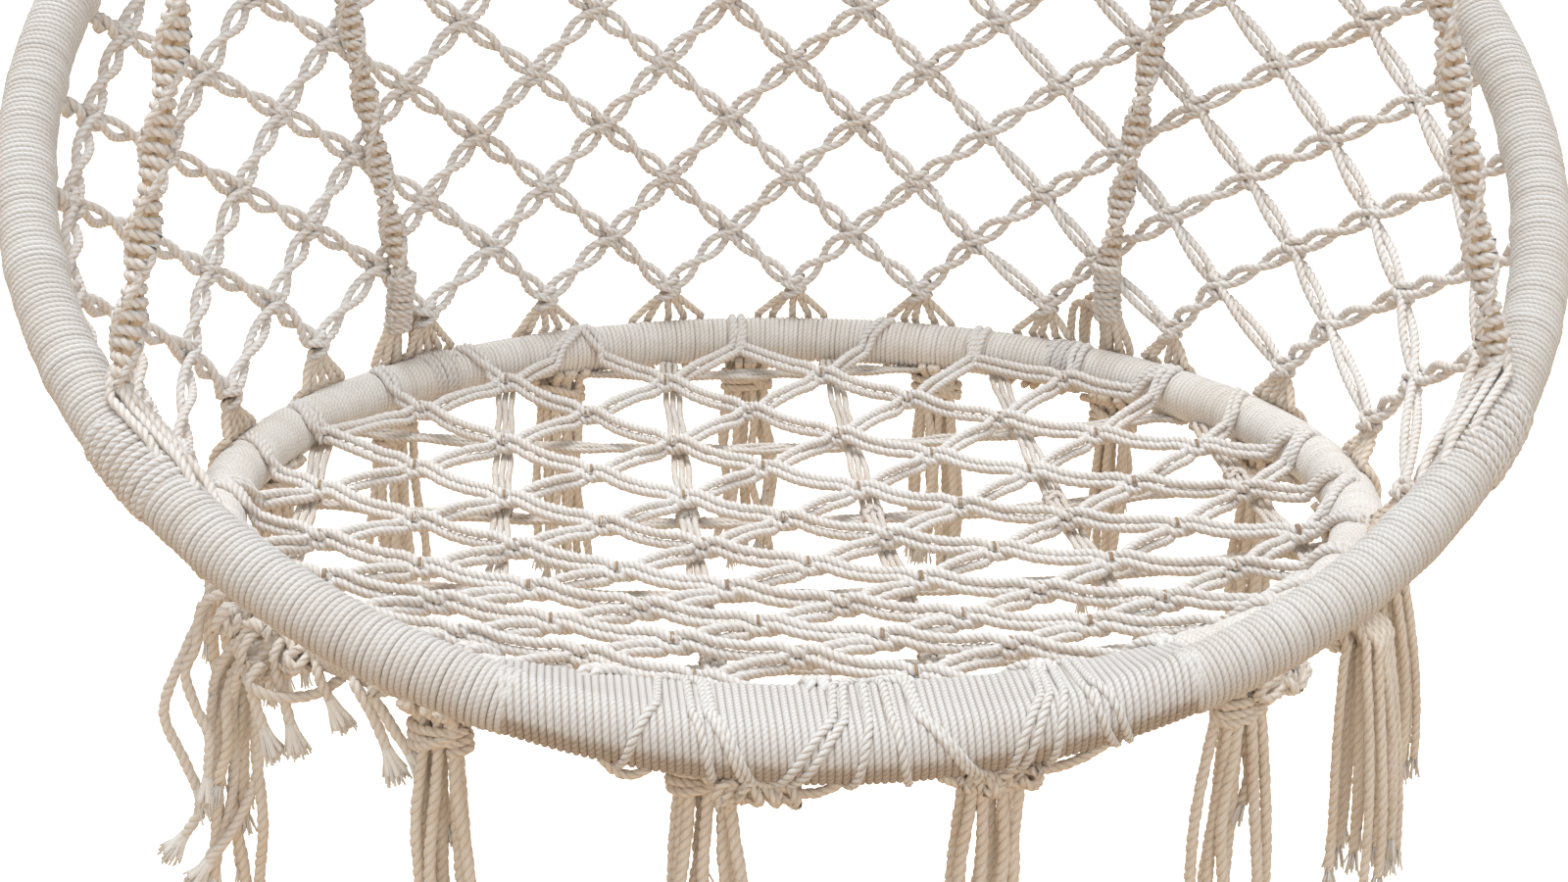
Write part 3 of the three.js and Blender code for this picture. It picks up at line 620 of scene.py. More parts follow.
strips = {column: [] for column in range(-LAST_COLUMN - 1, LAST_COLUMN + 1)}
knots_in = {column: [] for column in strips}
feet_in = {column: [] for column in strips}
for (column, row), (spot, normal, arc) in net_knots.items():
    for side in (-1, 1):
        strip = strips[column if side > 0 else column - 1]
        target = net_knots.get((column + side, row + 1))
        if target and (side > 0 or column <= STRAIGHT_AFTER):
            strip += twined(spot, normal, *target[:2], EYE + chance.uniform(-0.5, 0.7))
        elif target:
            strip += twined(spot, normal, *target[:2], STRAIGHT_EYE, turns=0.5, phase=0.25 * math.pi)
        else:
            goal = wall(*lattice(column + side, row + 1))
            reached, hoop, met = on_to_hoop(spot, goal, (back_hoop,), 90)
            if met:
                for cord in twined(spot, normal, reached, normal, EYE_AT_HOOP):
                    strip.append(cord[:-1] + tucked(hoop, reached))
        if row > 0 and (column + side, row - 1) not in net_knots:
            goal = wall(*lattice(column + side, row - 1))
            reached, hoop, _ = on_to_hoop(spot, goal, (seat_hoop, back_hoop), 60)
            eyes = max(1.0, round((reached - spot).length / EYE_LENGTH) / 2)
            for cord in twined(spot, normal, reached, normal, EYE_AT_HOOP, turns=eyes, parts=int(16 * eyes)):
                strip.append(cord[:-1] + tucked(hoop, reached))
    knots_in[column] += knot_rings(spot, normal, KNOT_LEAN if column % 2 else -KNOT_LEAN)
    if row == 0:
        feet_in[column] += fan(spot, normal, arc, 1 - FAN_NARROWING * min(5, abs(column)))
print("ends tied on the hoops", [len(places) for places in tied_on.values()])

# %% [markdown]
# Cord crosses from the fixed back to the folding seat. The net is made in narrow upright strips, one
# for each column of the lattice, and each strip's knots, cords and feet are pieces of their own.

# %% The back net's strips
BEND_MARGIN, LEAST_BEND_TOP = 16.0, 24.0  # how far a strip's foot and top keep from the hoops, and its lowest top
net_length, net_pieces = 0.0, []
for column in sorted(strips):
    angle = math.pi - lattice(column + 0.5, 0)[0] / SEAT_RADIUS
    low, high = seat_hoop.at(angle), back_hoop.at(angle)
    foot = in_frame(Vector((low.x, low.y, BEND_MARGIN)))
    top = in_frame(Vector((low.x, low.y, max(high.z - BEND_MARGIN, LEAST_BEND_TOP))))
    for kind, paths, thickness, finish, pitch in (
        ("_knots", knots_in[column], 4.6, net_cotton, 12.0),
        ("", strips[column], NET_CORD, net_cotton, None),
        ("_feet", feet_in[column], NET_CORD, shaded_foot_cotton, None),
    ):
        if not paths:
            continue
        name = f"back_net_strip_{column + LAST_COLUMN + 2:02d}{kind}"
        made, length = lay_cord(name, paths, thickness, finish, step=2.6, pitch=pitch)
        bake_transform(made)
        net_pieces.append(made)
        net_length += 0.0 if kind == "_knots" else length
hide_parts("back_net")
print(f"back net: {len(net_pieces)} pieces, {net_length / 1000:.1f} m of cord")

# %% [markdown]
# The hoops' wraps are one long cord each, wound turn against turn, with a gap at the front where the
# binding takes over. The turns are real, because their ribs catch the light from above and their
# edges show against the white; only the twist inside each turn is drawn. Where a cord of the net is
# tied on, the turns swell over its hidden knot.

# %% How cord is wound
SWELL, SWELL_WIDTH = 1.5, 5.5
GROOVE, GROOVE_DEPTH, GROOVE_EDGE = 0.55, 1.25, 1.3


def swell(hoop, angle, section):
    """How far the wrap stands out over the net's hidden knots, most on the side they come from."""
    rise = 0.0
    for place, toward in tied_on[hoop]:
        apart = (angle - place + math.pi) % (2 * math.pi) - math.pi
        along = apart * hoop.radius / SWELL_WIDTH
        if abs(along) < 3:
            rise = max(rise, SWELL * math.exp(-along * along) * (0.55 + 0.45 * math.cos(section - toward)))
    return rise


def wound(hoop, start, stop, pitch, steps, reach, swelling=False):
    """A cord wound a little unevenly round a hoop's tube, from one angle to another."""
    turns = abs(stop - start) * hoop.radius / pitch
    count = int(turns * steps)
    path = []
    for number in range(count + 1):
        angle, section = start + (stop - start) * number / count, 2 * math.pi * number / steps
        turn = number // steps
        # Two waves that never fall in step keep the turns from looking alike.
        uneven = 0.05 * math.sin(turn * 2.4) + 0.1 * math.sin(turn * 0.83 + 1)
        rise = uneven + (swell(hoop, angle, section) if swelling else 0.0)
        path.append(hoop.round_it(angle + 0.15 * math.sin(turn * 1.7) / hoop.radius, section, reach + rise))
    return path


def shade_grooves(piece, depth_of, weight):
    """Paints shade on a winding's surface: deep between its turns, and below, where it faces outward."""
    valley = piece.data.attributes["valley"]
    for vert in piece.data.vertices:
        deep, below = depth_of(vert.co / MM - SEAT_MIDDLE)
        groove = GROOVE * limited(deep / GROOVE_DEPTH) ** GROOVE_EDGE
        valley.data[vert.index].value = min(1.0, groove + weight * limited(below))


# %% The hoops' wraps
WRAP_PITCH, WRAP_CORD, WRAP_STEPS = 3.2, 3.6, 20
WRAP_MIDDLE = WRAP_RADIUS - WRAP_CORD / 2
WRAP_TWIST = 7.5  # millimetres of cord in each drawn twist
UNDER_BINDING = 6  # how far a wrap goes on under the binding
UNDERLAY = 1.6


def under_wrap(point, hoop):
    """How deep a point lies in a wrap, and how far it is round the outer side's underside, for the painted
    shade there.
    """
    distance, angle = near_hoop(point, hoop)
    aside = point - hoop.at(angle)
    outward = aside.x * math.sin(angle) - aside.y * math.cos(angle)
    return WRAP_RADIUS - distance, (-aside.z / WRAP_RADIUS + 0.05) * 1.5 * limited(0.6 + outward / 12.0)


def wrap_hoop(name, hoop, node_name, body, light):
    edge = math.asin((BINDING_HALF - UNDER_BINDING) / hoop.radius)
    path = wound(hoop, edge, 2 * math.pi - edge, WRAP_PITCH, WRAP_STEPS, WRAP_MIDDLE, swelling=True)
    twists = path_length(path) / WRAP_TWIST
    finish = cotton(name + " cotton", light, PAINTED_SHADE, 0.5, 0.1, twists=twists, relief=0.7)
    step = 2 * math.pi * WRAP_MIDDLE / WRAP_STEPS
    piece, _ = lay_cord(name, [path], WRAP_CORD, finish, step=step, outline=ROUND)
    # Painted shade: tan between the turns and on the outer underside.
    shade_grooves(piece, lambda point: under_wrap(point, hoop), 0.75)
    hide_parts(node_name)
    ends = (edge - 0.02, 2 * math.pi - edge + 0.02)
    sleeve = [hoop.at(ends[0] + (ends[1] - ends[0]) * number / 160) for number in range(161)]
    width = 2 * (TUBE_RADIUS + UNDERLAY)
    under, _ = lay_cord(name + "_underlay", [sleeve], width, shaded_cotton, step=14.0, outline=SLEEVE)
    carried((piece, under), body)


# The seat hoop's wrap is coloured lighter than the back hoop's: painted light on its face that is in shade.
wrap_hoop("seat_hoop_winding", seat_hoop, "seat_hoop_wrap", "seat", SEAT_WRAP_PAINTED_LIGHT)
wrap_hoop("back_hoop_winding", back_hoop, "back_hoop_wrap", "back", LIGHT)

# %% [markdown]
# At the front one cord goes round both hoops together. It lies straight across the hollow between
# them, as any cord pulled tight does, so its path is the outline of two circles and their tangents.
# The hoops diverge away from the middle, and the binding is cut into short sections, each at its own
# place across the front.

# %% The front binding's path
BAND_PITCH, BAND_STEPS, BAND_REACH = 3.3, 36, WRAP_RADIUS - 1.9


def both_hoops(x):
    """The middles of both tubes at a place across the front."""
    return [hoop.at(math.asin(limited(x / hoop.radius, -1.0))) for hoop in (seat_hoop, back_hoop)]


def band_point(x, angle, reach):
    """A point on the band round both tubes, at a place across the front and an angle round the band."""
    way = Vector((0.0, math.cos(angle), math.sin(angle)))
    best = max(both_hoops(x), key=lambda middle: middle.dot(way))
    return best + way * reach


def under_band(point):
    """How deep a point lies under the band's surface, and how far it is round the band's underside, for the
    painted shade there.
    """
    near, far = both_hoops(point.x)
    span = far - near
    share = limited((point - near).dot(span) / span.length_squared)
    aside = point - near - span * share
    return WRAP_RADIUS - aside.length, (-aside.z / WRAP_RADIUS - 0.03) * 5.0


def cross_the_front(piece, x):
    """Bakes the transform of a piece that goes round both hoops at one place across the front."""
    near, far = both_hoops(x)
    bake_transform(piece)


count = int(2 * BINDING_HALF / BAND_PITCH * BAND_STEPS)
band = [
    band_point(-BINDING_HALF + 2 * BINDING_HALF * n / count, 2 * math.pi * n / BAND_STEPS, BAND_REACH)
    for n in range(count + 1)
]
print("binding's turns", count // BAND_STEPS)

# %% The front binding's sections
SECTIONS, SECTION_TURNS = 13, 7
BAND_LIGHT, BAND_SHADE = (0.84, 0.838, 0.83), (0.37, 0.26, 0.165)
twists = path_length(band) / 8.0 / SECTIONS
binding_cotton = cotton("Binding cotton", BAND_LIGHT, BAND_SHADE, 0.66, 0.06, twists=twists, relief=0.8)
for section in range(SECTIONS):
    first = section * SECTION_TURNS * BAND_STEPS
    turns = band[first:first + SECTION_TURNS * BAND_STEPS + 1]
    name = f"front_binding_turns_{section + 1:02d}"
    binding, _ = lay_cord(name, [turns], 3.7, binding_cotton, step=2.7, outline=HEAVY_ROUND)
    # Painted shade: tan between the turns, and dark below the band's middle.
    shade_grooves(binding, under_band, 1.0)
    cross_the_front(binding, turns[len(turns) // 2].x)
    if section == 0:
        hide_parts("front_binding")

# %% [markdown]
# The seat net is made of wavy rows. Each row is two cords side by side, and it hooks the next row
# wherever a crest meets a trough: one leg of the crest lies over the trough and the other under it.
# The sitter's weight has let the net sag, so the rows lie on a shallow bowl.

# %% The seat net's bowl and corners
WAVE_HALF, ROW_GAP, ROW_CLOSER, FRONT_GAP = 50.0, 39.5, 1.13, 38.0
ROW_START_X, ROW_START_Y = -8.0, 9.0
ROW_DRIFT, ROW_TILT, FRONT_LEVEL = 0.36, 0.085, -7
ROWS, CORNERS = range(-10, 10), range(-8, 9)
SEAT_CORD, SEAT_PAIR = 5.5, 2.65
SAG = 22.0
HOOKED_BY, HOOK_ROUNDING = 3.4, 9.0  # how far a corner reaches into the next one, and over what length
HOOK_LIFT, HOOK_AT, HOOK_WIDTH = 2.8, 6, 8.0  # a leg's rise over the cord that it hooks


def bowl(x, y, drop=0.0):
    share = min(math.hypot(x, y) / (SEAT_RADIUS - WRAP_RADIUS), 1.0)
    return -drop - SAG * (1 - share * share)


def corner(m, i):
    """Where row m's wavy line turns: a trough below or a crest above, hooked with the next row."""
    crest = (i + m) % 2 != 0
    level = m + (1 if crest else 0)
    even = max(level, FRONT_LEVEL)
    x = ROW_START_X + WAVE_HALF * i + ROW_DRIFT * (4 - even) ** 2
    y = ROW_START_Y + ROW_GAP * even + ROW_CLOSER * even * even + FRONT_GAP * (level - even)
    return Vector((x, y + ROW_TILT * limited((even + 5) / 3) * x, 0.0)), crest


hooked = set()
for m in ROWS:
    for i in CORNERS:
        spot, _ = corner(m, i)
        if near_hoop(spot, seat_hoop)[0] > WRAP_RADIUS + 7 and spot.length < SEAT_RADIUS:
            hooked.add((m, i))
print("hooks in the seat net", len(hooked))

# %% [markdown]
# A row is drawn leg by leg. Beyond its last corner it runs on to the hoop, climbs the hoop's inner
# side and goes under the wrap. Its two cords are then laid on both sides of that one line.

# %% The seat net's rows
LEG_PARTS = 40
SIDESTEP = 26.0  # how far along the hoop a row may run while it climbs


def up_the_hoop(tail, goal, lie):
    """On from a point near the seat hoop, up its inner side towards a goal, and under its wrap."""
    _, angle = near_hoop(tail, seat_hoop)
    apart = (math.atan2(goal.x, -goal.y) - angle + math.pi) % (2 * math.pi) - math.pi
    apart = limited(apart * SEAT_RADIUS, -SIDESTEP, SIDESTEP)
    climb = [(2.75 - 0.125 * k, apart * (k / 9) ** 0.8, WRAP_RADIUS + 2.1 - 0.16 * k) for k in range(1, 10)]
    climb += [(1.52, apart, WRAP_RADIUS - 0.4), (1.43, apart, WRAP_RADIUS - 3.0)]
    return [seat_hoop.round_it(angle, section, reach, lie + along) for section, along, reach in climb]


def leg(m, i, j):
    """Half a zigzag from corner i towards corner j: on to the middle of the leg, or up over the hoop."""
    here, crest = corner(m, i)
    there, _ = corner(m, j)
    side = 1 if j > i else -1
    points, reached = [], False
    for number in range(1, LEG_PARTS * 3 // 2):
        share = number / LEG_PARTS
        gone = share * WAVE_HALF
        spot = here.lerp(there, share)
        spot.y += (HOOKED_BY if crest else -HOOKED_BY) * math.exp(-((gone / HOOK_ROUNDING) ** 2))
        hook = HOOK_LIFT * math.tanh(share * 8) * math.exp(-(((gone - HOOK_AT) / HOOK_WIDTH) ** 2))
        spot.z = bowl(spot.x, spot.y) + hook * side * (1 if crest else -1)
        if near_hoop(spot, seat_hoop)[0] < WRAP_RADIUS + 3:
            reached = True
            break
        if share > 0.5 and (m, j) in hooked:
            break
        points.append(spot)
    return points, reached, there


def paired(line, shift):
    """One cord of a row's pair: beside the row's line and a little above or below it."""
    cord = []
    for place, spot in enumerate(line):
        before, after = line[max(place - 1, 0)], line[min(place + 1, len(line) - 1)]
        way = (after - before).normalized()
        side = UP.cross(way).normalized()
        turn = 0.9 + 0.45 * math.sin(spot.x / 17.0 + spot.y / 23.0)
        cord.append(spot + (side * math.cos(turn) + UP * math.sin(turn)) * shift)
    return cord


def row_line(m, run):
    """Row m's line through one run of corners, and where each of its ends is led over the hoop."""
    left, left_end, left_goal = leg(m, run[0], run[0] - 1)
    line = list(reversed(left))
    for i in run:
        here, crest = corner(m, i)
        here.y += HOOKED_BY if crest else -HOOKED_BY
        here.z = bowl(here.x, here.y)
        line.append(here)
        right, right_end, right_goal = leg(m, i, i + 1)
        line += right
        if i != run[-1]:
            line += list(reversed(leg(m, i + 1, i)[0]))
    return line, left_goal if left_end else None, right_goal if right_end else None


def row_cords(m):
    """Row m as pairs of cords. A run of corners inside the hoop ends over the hoop at both sides."""
    cords, runs = [], []
    for i in sorted(i for (row, i) in hooked if row == m):
        if runs and runs[-1][-1] == i - 1:
            runs[-1].append(i)
        else:
            runs.append([i])
    for run in runs:
        line, left_goal, right_goal = row_line(m, run)
        for shift in (-SEAT_PAIR, SEAT_PAIR):
            cord = paired(line, shift)
            if left_goal is not None:
                cord = list(reversed(up_the_hoop(line[0], left_goal, shift * 1.1))) + cord[1:]
            if right_goal is not None:
                cord = cord[:-1] + up_the_hoop(line[-1], right_goal, shift * 1.1)
            cords.append(cord)
    return cords


seat_runs = [cord for m in ROWS for cord in row_cords(m)]
seat_net, _ = lay_cord("seat_net_rows", seat_runs, SEAT_CORD, seat_cotton, step=2.4, pitch=11.0)
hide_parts("seat_net")
carried((seat_net,), "seat")

# %% [markdown]
# On a worn net every hook shows a small gap that lies in shade. These cords touch without one, so a hair
# of darker cord is laid over each hook as painted shade.

# %% Painted shade where two rows hook
TICK = ((-4.0, 2.2), (-1.6, 4.9), (1.6, 4.9), (4.0, 2.2))  # along y, and above the bowl
ticks = []
for m, i in sorted(hooked):
    spot, _ = corner(m, i)
    spot.z = bowl(spot.x, spot.y)
    ticks.append([spot + Vector((0.6 * (m % 3 - 1), y, z)) for y, z in TICK])
tick_marks, _ = lay_cord("seat_net_ticks", ticks, 1.0, hook_shade_cotton, step=2.0, outline=ROUND)
carried((tick_marks,), "seat")

# %% [markdown]
# Under the seat net lies a plain lattice of bands, each of three cords side by side. It takes the
# weight, and through the seat net it shows as broad pale stripes.

# %% The support web
WEB_X, WEB_Y, WEB_SHIFT_Y, WEB_DROP = 105.0, 116.0, -14.0, 12.0
WEB_LINES = range(-3, 3)
WEB_INSIDE = SEAT_RADIUS - 7.0
CORDS_APART, WEB_OVER = 3.9, 2.2
WEB_REACH = WRAP_RADIUS + 2.0


def band_cords(fixed, across):
    """Three cords on one line of the web, from hoop to hoop; across is 0 for a line of equal x."""
    if abs(fixed) > WEB_INSIDE - 20:
        return []
    reach = math.sqrt(WEB_INSIDE ** 2 - fixed ** 2)
    count = int(2 * reach / 5)
    cords = []
    for place in (-1, 0, 1):
        cord = []
        for number in range(count + 1):
            free = -reach + 2 * reach * number / count
            side = fixed + place * CORDS_APART + 0.5 * math.sin(free / 9.0 + place)
            x, y = (side, free) if across == 0 else (free, side)
            over = WEB_OVER if across == 0 else -WEB_OVER
            cord.append(Vector((x, y, bowl(x, y, WEB_DROP) + over + 0.5 * math.sin(free / 6 + 2 * place))))
        for end in (0, -1):
            _, angle = near_hoop(cord[end], seat_hoop)
            turn = [seat_hoop.round_it(angle, -2.2 + 0.25 * k, WEB_REACH, place * 4.4) for k in range(9)]
            cord = list(reversed(turn)) + cord[2:] if end == 0 else cord[:-2] + turn
        cords.append(cord)
    return cords


def web_line(number, across):
    return WEB_X * (number + 0.5) if across == 0 else WEB_Y * (number + 0.5) + WEB_SHIFT_Y


web_runs = []
for number in WEB_LINES:
    for across in (0, 1):
        web_runs += band_cords(web_line(number, across), across)
web, _ = lay_cord("support_web_bands", web_runs, 4.2, shaded_web_cotton, step=3.2, pitch=11.0)
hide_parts("support_web")
carried((web,), "seat")

# %% The web's knots
web_knots = []
for x in (web_line(number, 0) for number in WEB_LINES):
    for y in (web_line(number, 1) for number in WEB_LINES):
        if math.hypot(x, y) < SEAT_RADIUS - 30:
            spot = Vector((x, y, bowl(x, y, WEB_DROP)))
            for turned, tall in ((0.78, 4.8), (-0.78, 5.4)):
                wide = Vector((math.cos(turned), math.sin(turned), 0.0)) * 7.6
                ring = [spot + wide * math.cos(a) + UP * (tall * math.sin(a)) for a in full_turn(16)]
                web_knots.append(ring)
knots, _ = lay_cord("support_web_knots", web_knots, 3.8, shaded_web_cotton, step=2.6)
carried((knots,), "seat")

# %% [markdown]
# Four ropes carry the chair. Each is a spiral of half knots: two cords knotted again and again round
# a core, every knot a little further round than the last. From outside that is a stack of leaning
# bars whose outline swells and pinches twice in each full turn of the spiral.

# %% A spiral of half knots
KNOT_GAP, HALF_TURN, BAR = 6.4, 42.0, 5.8
BROAD, SLIM, BULGE, LEAN = 7.8, 3.2, 0.6, 0.9
BAR_AT, EDGE_AT, CORE_AT = 0.82, 0.8, 0.36  # in shares of the half width


def half_knots(path, phase):
    """The bars of a spiral of half knots round a path, the cords that climb its edges, and its core's."""
    points, length = evenly(path, 1.0)
    bars, edges, fill = [], ([], []), ([], [])
    guide = Vector((0.0, 1.0, 0.0))
    for number in range(int(length / KNOT_GAP)):
        place = min(len(points) - 2, int(number * KNOT_GAP))
        spot = points[place]
        way = (points[place + 1] - spot).normalized()
        first = (guide - way * guide.dot(way)).normalized()
        second = way.cross(first)
        angle = math.pi * number * KNOT_GAP / HALF_TURN + phase
        wide = first * math.cos(angle) + second * math.sin(angle)
        deep = way.cross(wide)
        bar = []
        for a in full_turn(14):
            leaning = way * (LEAN * math.sin(a))
            bar.append(spot + wide * (BROAD * BAR_AT * math.cos(a)) + deep * (SLIM * math.sin(a)) + leaning)
        bars.append(bar)
        bulge = BULGE if number % 2 else -BULGE
        for edge, inner, flip in zip(edges, fill, (1, -1)):
            edge.append(spot + wide * (flip * (BROAD * EDGE_AT + bulge)) + deep * (flip * 1.2))
            inner.append(spot + wide * (flip * BROAD * CORE_AT))
    return bars, list(edges), list(fill)


# %% The ropes' routes
CROWN_UNDER = 1500.0 - 116.3
CROWN_X, CROWN_Y, CROWN_SHIFT, CROWN_STEM = 8.95, 8.65, 3.4, 17
FRONT_FOOT, REAR_FOOT, REAR_FROM_BACK = (math.radians(value) for value in (57.6, 135.0, 45.0))
BOW, TIE_OUT = 24.0, 12.0
SIDES = (("left", -1), ("right", 1))

ropes = []
for label, side in SIDES:
    foot = back_hoop.at(side * FRONT_FOOT)
    high, low = back_hoop.at(side * REAR_FOOT), seat_hoop.at(side * REAR_FOOT)
    front_top, rear_top = [
        [Vector((side * CROWN_X, y + CROWN_SHIFT, CROWN_UNDER - stem)) for stem in (CROWN_STEM, 0)]
        for y in (-CROWN_Y, CROWN_Y)
    ]
    half = foot.lerp(front_top[0], 0.5) + Vector((side * BOW, 0.0, 0.0))
    shift = wall_normal(side * REAR_FROM_BACK * SEAT_RADIUS, high.z / 2) * TIE_OUT
    tie = [low + shift, low.lerp(high, 0.5) + shift, high + shift]
    ropes.append((f"front_{label}_rope", [foot, half, *front_top], 0.4 * side, "back"))
    ropes.append((f"rear_{label}_rope", [high, *rear_top], 1.1 * side, "back"))
    ropes.append((f"rear_{label}_tie", tie, 0.7 * side, None))
print("routes", [name for name, *_ in ropes])

# %% [markdown]
# Behind the seat hoop a rear tie ends in loose work: its cords are bound into a neck, pass down behind
# the hoop, and make three loops above it. They are drawn as a few points each, which a smooth curve
# joins.

# %% The foot of a rear tie
LEGS = ((-15.0, 2.0), (-10.0, -2.0), (-6.0, 3.0), (-2.0, -1.5), (2.0, 2.5))  # across, outward
LOOPS = ((4.0, 22.0, 42.0, 3.0), (2.0, 27.0, 38.0, -3.0), (9.0, 21.0, 33.0, 6.0))  # near, far, top, out
LEG_REACH = WRAP_RADIUS + 2.8
NECK_END, NECK_WIDE, NECK_WAIST, NECK_DEEP, NECK_LEAN = 0.52, 7.4, 0.7, 6.0, 0.8


def rope_foot(angle, neck):
    """The cords and loops below a rear tie's last knot, and the rings that bind its neck."""
    inward = 1 if angle > 0 else -1
    along, across = seat_hoop.along(angle) * inward, seat_hoop.out(angle)
    behind = seat_hoop.at(angle) + across * (WRAP_RADIUS + 2.0)
    foot = neck.lerp(behind, NECK_END)
    runs = []
    for spread, depth in LEGS:
        start = foot + along * (0.4 * spread) + UP * 6
        middle = foot.lerp(behind, 0.5) + along * (0.95 * spread) + across * depth
        turn = [seat_hoop.round_it(angle, 0.5 - 0.26 * k, LEG_REACH, spread * inward) for k in range(11)]
        runs.append(curve_through([start, middle, turn[0]], 6) + turn[1:])
    for near, far, top, depth in LOOPS:
        arch = [(near, 2.0), (near, top * 0.6), (near + 3, top * 0.95)]
        arch += [(far - 3, top), (far + 1, top * 0.66), (far, 2.0)]
        runs.append(curve_through([behind + along * x + UP * z + across * depth for x, z in arch], 6))
    rings = []
    for number in range(9):
        middle = neck.lerp(foot, number / 8) + UP * 2
        wide = NECK_WIDE - NECK_WAIST * math.sin(math.pi * number / 8) + 0.5 * (number % 2)
        ring = []
        for a in full_turn(16):
            leaning = UP * (NECK_LEAN * math.cos(a + number))
            ring.append(middle + along * (wide * math.cos(a)) + across * (NECK_DEEP * math.sin(a)) + leaning)
        rings.append(ring)
    return runs, rings


# %% The knotted ropes
TIE_START = 66  # how far from the seat hoop's tube a tie's knots begin


def clear_of_hoops(path, body):
    """The part of a rope's route that its knots cover."""
    if body:
        start = next(n for n, point in enumerate(path) if near_hoop(point, back_hoop)[0] > WRAP_RADIUS + 1.0)
        return path[start:]
    return [
        point for point in path
        if near_hoop(point, seat_hoop)[0] > TIE_START and near_hoop(point, back_hoop)[0] > WRAP_RADIUS + 2
    ]


rope_length = {}
for name, route, phase, body in ropes:
    path = clear_of_hoops(curve_through(route), body)
    bars, edges, fill = half_knots(path, phase)
    knots, _ = lay_cord(name + "_knots", bars, BAR, rope_cotton, step=3.0, pitch=12.0)
    climbing, _ = lay_cord(name + "_edges", edges, 4.4, rope_cotton, step=2.6, pitch=12.0)
    core, _ = lay_cord(name + "_core", fill, 6.6, shaded_cotton, step=4.0, outline=HEAVY_ROUND)
    rope_length[name] = path_length(path)
    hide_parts(name)
    if body:
        carried((knots, climbing, core), body)
        continue
    legs, rings = rope_foot(REAR_FOOT if "right" in name else -REAR_FOOT, path[0])
    loops, _ = lay_cord(name + "_legs", legs, 5.8, shaded_foot_cotton, step=2.6, pitch=13.0)
    bound, _ = lay_cord(name + "_neck", rings, 5.4, rope_cotton, step=2.6, pitch=13.0)
    low, high = route[0], route[-1]
    foot = in_frame(Vector((low.x, low.y, BEND_MARGIN)))
    top = in_frame(Vector((low.x, low.y, high.z - BEND_MARGIN)))
    for made in (knots, climbing, core, loops, bound):
        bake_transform(made)
print("rope lengths, mm", {name: round(length) for name, length in rope_length.items()})

# %% [markdown]
# Where a front rope meets the back hoop, its spare ends lie along the hoop towards the middle, and a
# lashing holds them down. The turns of a lashing are wound as the wrap's are, only thicker and with a
# little lift over the ends in the middle.

# %% The front ropes' ends
# Where each end lies round the tube, and the first and last millimetre along the hoop.
ROPE_ENDS = ((2.5, 6.0, 46.0), (2.15, 2.0, 60.0), (1.8, -4.0, 38.0), (2.9, 8.0, 70.0), (3.2, 4.0, 52.0))
END_LIFT, END_SINK, SINKS_FROM = 3.4, 5.6, 0.7

end_runs = []
for side in (-1, 1):
    foot = side * FRONT_FOOT
    for section, first, last in ROPE_ENDS:
        run = [back_hoop.at(foot) + UP * (WRAP_RADIUS + 12.0) + back_hoop.out(foot) * (-4.0 + section)]
        for number in range(9):
            share = number / 8
            place = foot - side * (first + (last - first) * share) / back_hoop.radius
            sunk = END_LIFT - END_SINK * max(0.0, share - SINKS_FROM) / 0.3
            run.append(back_hoop.round_it(place, section + 0.2 * share, WRAP_RADIUS + sunk))
        end_runs.append(curve_through(run, 4))
ends_piece, _ = lay_cord("front_rope_ends", end_runs, 5.0, rope_cotton, step=2.6, pitch=13.0)
carried((ends_piece,), "back")

# %% The lashings at the ropes' feet
LASHING_CORD, LASHING_PITCH, LASHING_STEPS = 4.2, 4.3, 30
LASHING_LIFT, LASHING_SEAT = 0.8, 1.1  # over the ends in the middle, and how deep the turns seat
LASHINGS = (  # name, hoop, angle, and the first and last millimetre along the hoop
    ("front_{}_lashing", back_hoop, FRONT_FOOT, -48.0, -4.0, "back"),
    ("rear_{}_upper_lashing", back_hoop, REAR_FOOT, 8.0, 31.0, "back"),
    ("rear_{}_lower_lashing", seat_hoop, REAR_FOOT, 8.0, 31.0, "seat"),
)
for (label, side), (kind, hoop, foot, first, last, body) in itertools.product(SIDES, LASHINGS):
    name = kind.format(label)
    start, stop = side * foot + side * first / hoop.radius, side * foot + side * last / hoop.radius
    path = wound(hoop, start, stop, LASHING_PITCH, LASHING_STEPS, WRAP_RADIUS)
    for number, point in enumerate(path):
        middle = hoop.at(near_hoop(point, hoop)[1])
        share = number / (len(path) - 1)
        lift = LASHING_LIFT * math.sin(math.pi * share) ** 0.5 - LASHING_SEAT + 0.25 * math.sin(number / 9.0)
        path[number] = point + (point - middle).normalized() * lift
    piece, _ = lay_cord(name + "_turns", [path], LASHING_CORD, lashing_cotton, step=2.2, pitch=11.0)
    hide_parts(name)
    carried((piece,), body)

# %% [markdown]
# Fifteen tassels hang from the seat hoop. Each is a handful of thick cords caught under the hoop in
# one knot, from which they hang free. No two cords are alike, so a seeded random number bends,
# spreads and cuts each one, and its end opens into a brush of fibres.

# %% A tassel's cords
TASSEL_CORD, TASSEL_REACH, FRAY = 6.0, 164.0, 12.0
NECK_BELOW, KNOT_HALF = 27, 15
PLAIN_TASSEL = (9, 5.0, 0.0)  # cords, how far apart their rows are, and how far they stand out
RIGHT_TASSELS = {True: (17, 9.0, 20.0), False: (17, 9.0, 14.0)}  # past 70 degrees or not
LEFT_TASSELS = {True: (5, 5.0, 2.0), False: (7, 6.0, 17.0)}
SHORT_ONES = 0.17
TIE_WIDE, TIE_DEEP, CROSS_WIDE, CROSS_DEEP = 15.5, 8.6, 15.0, 10.2


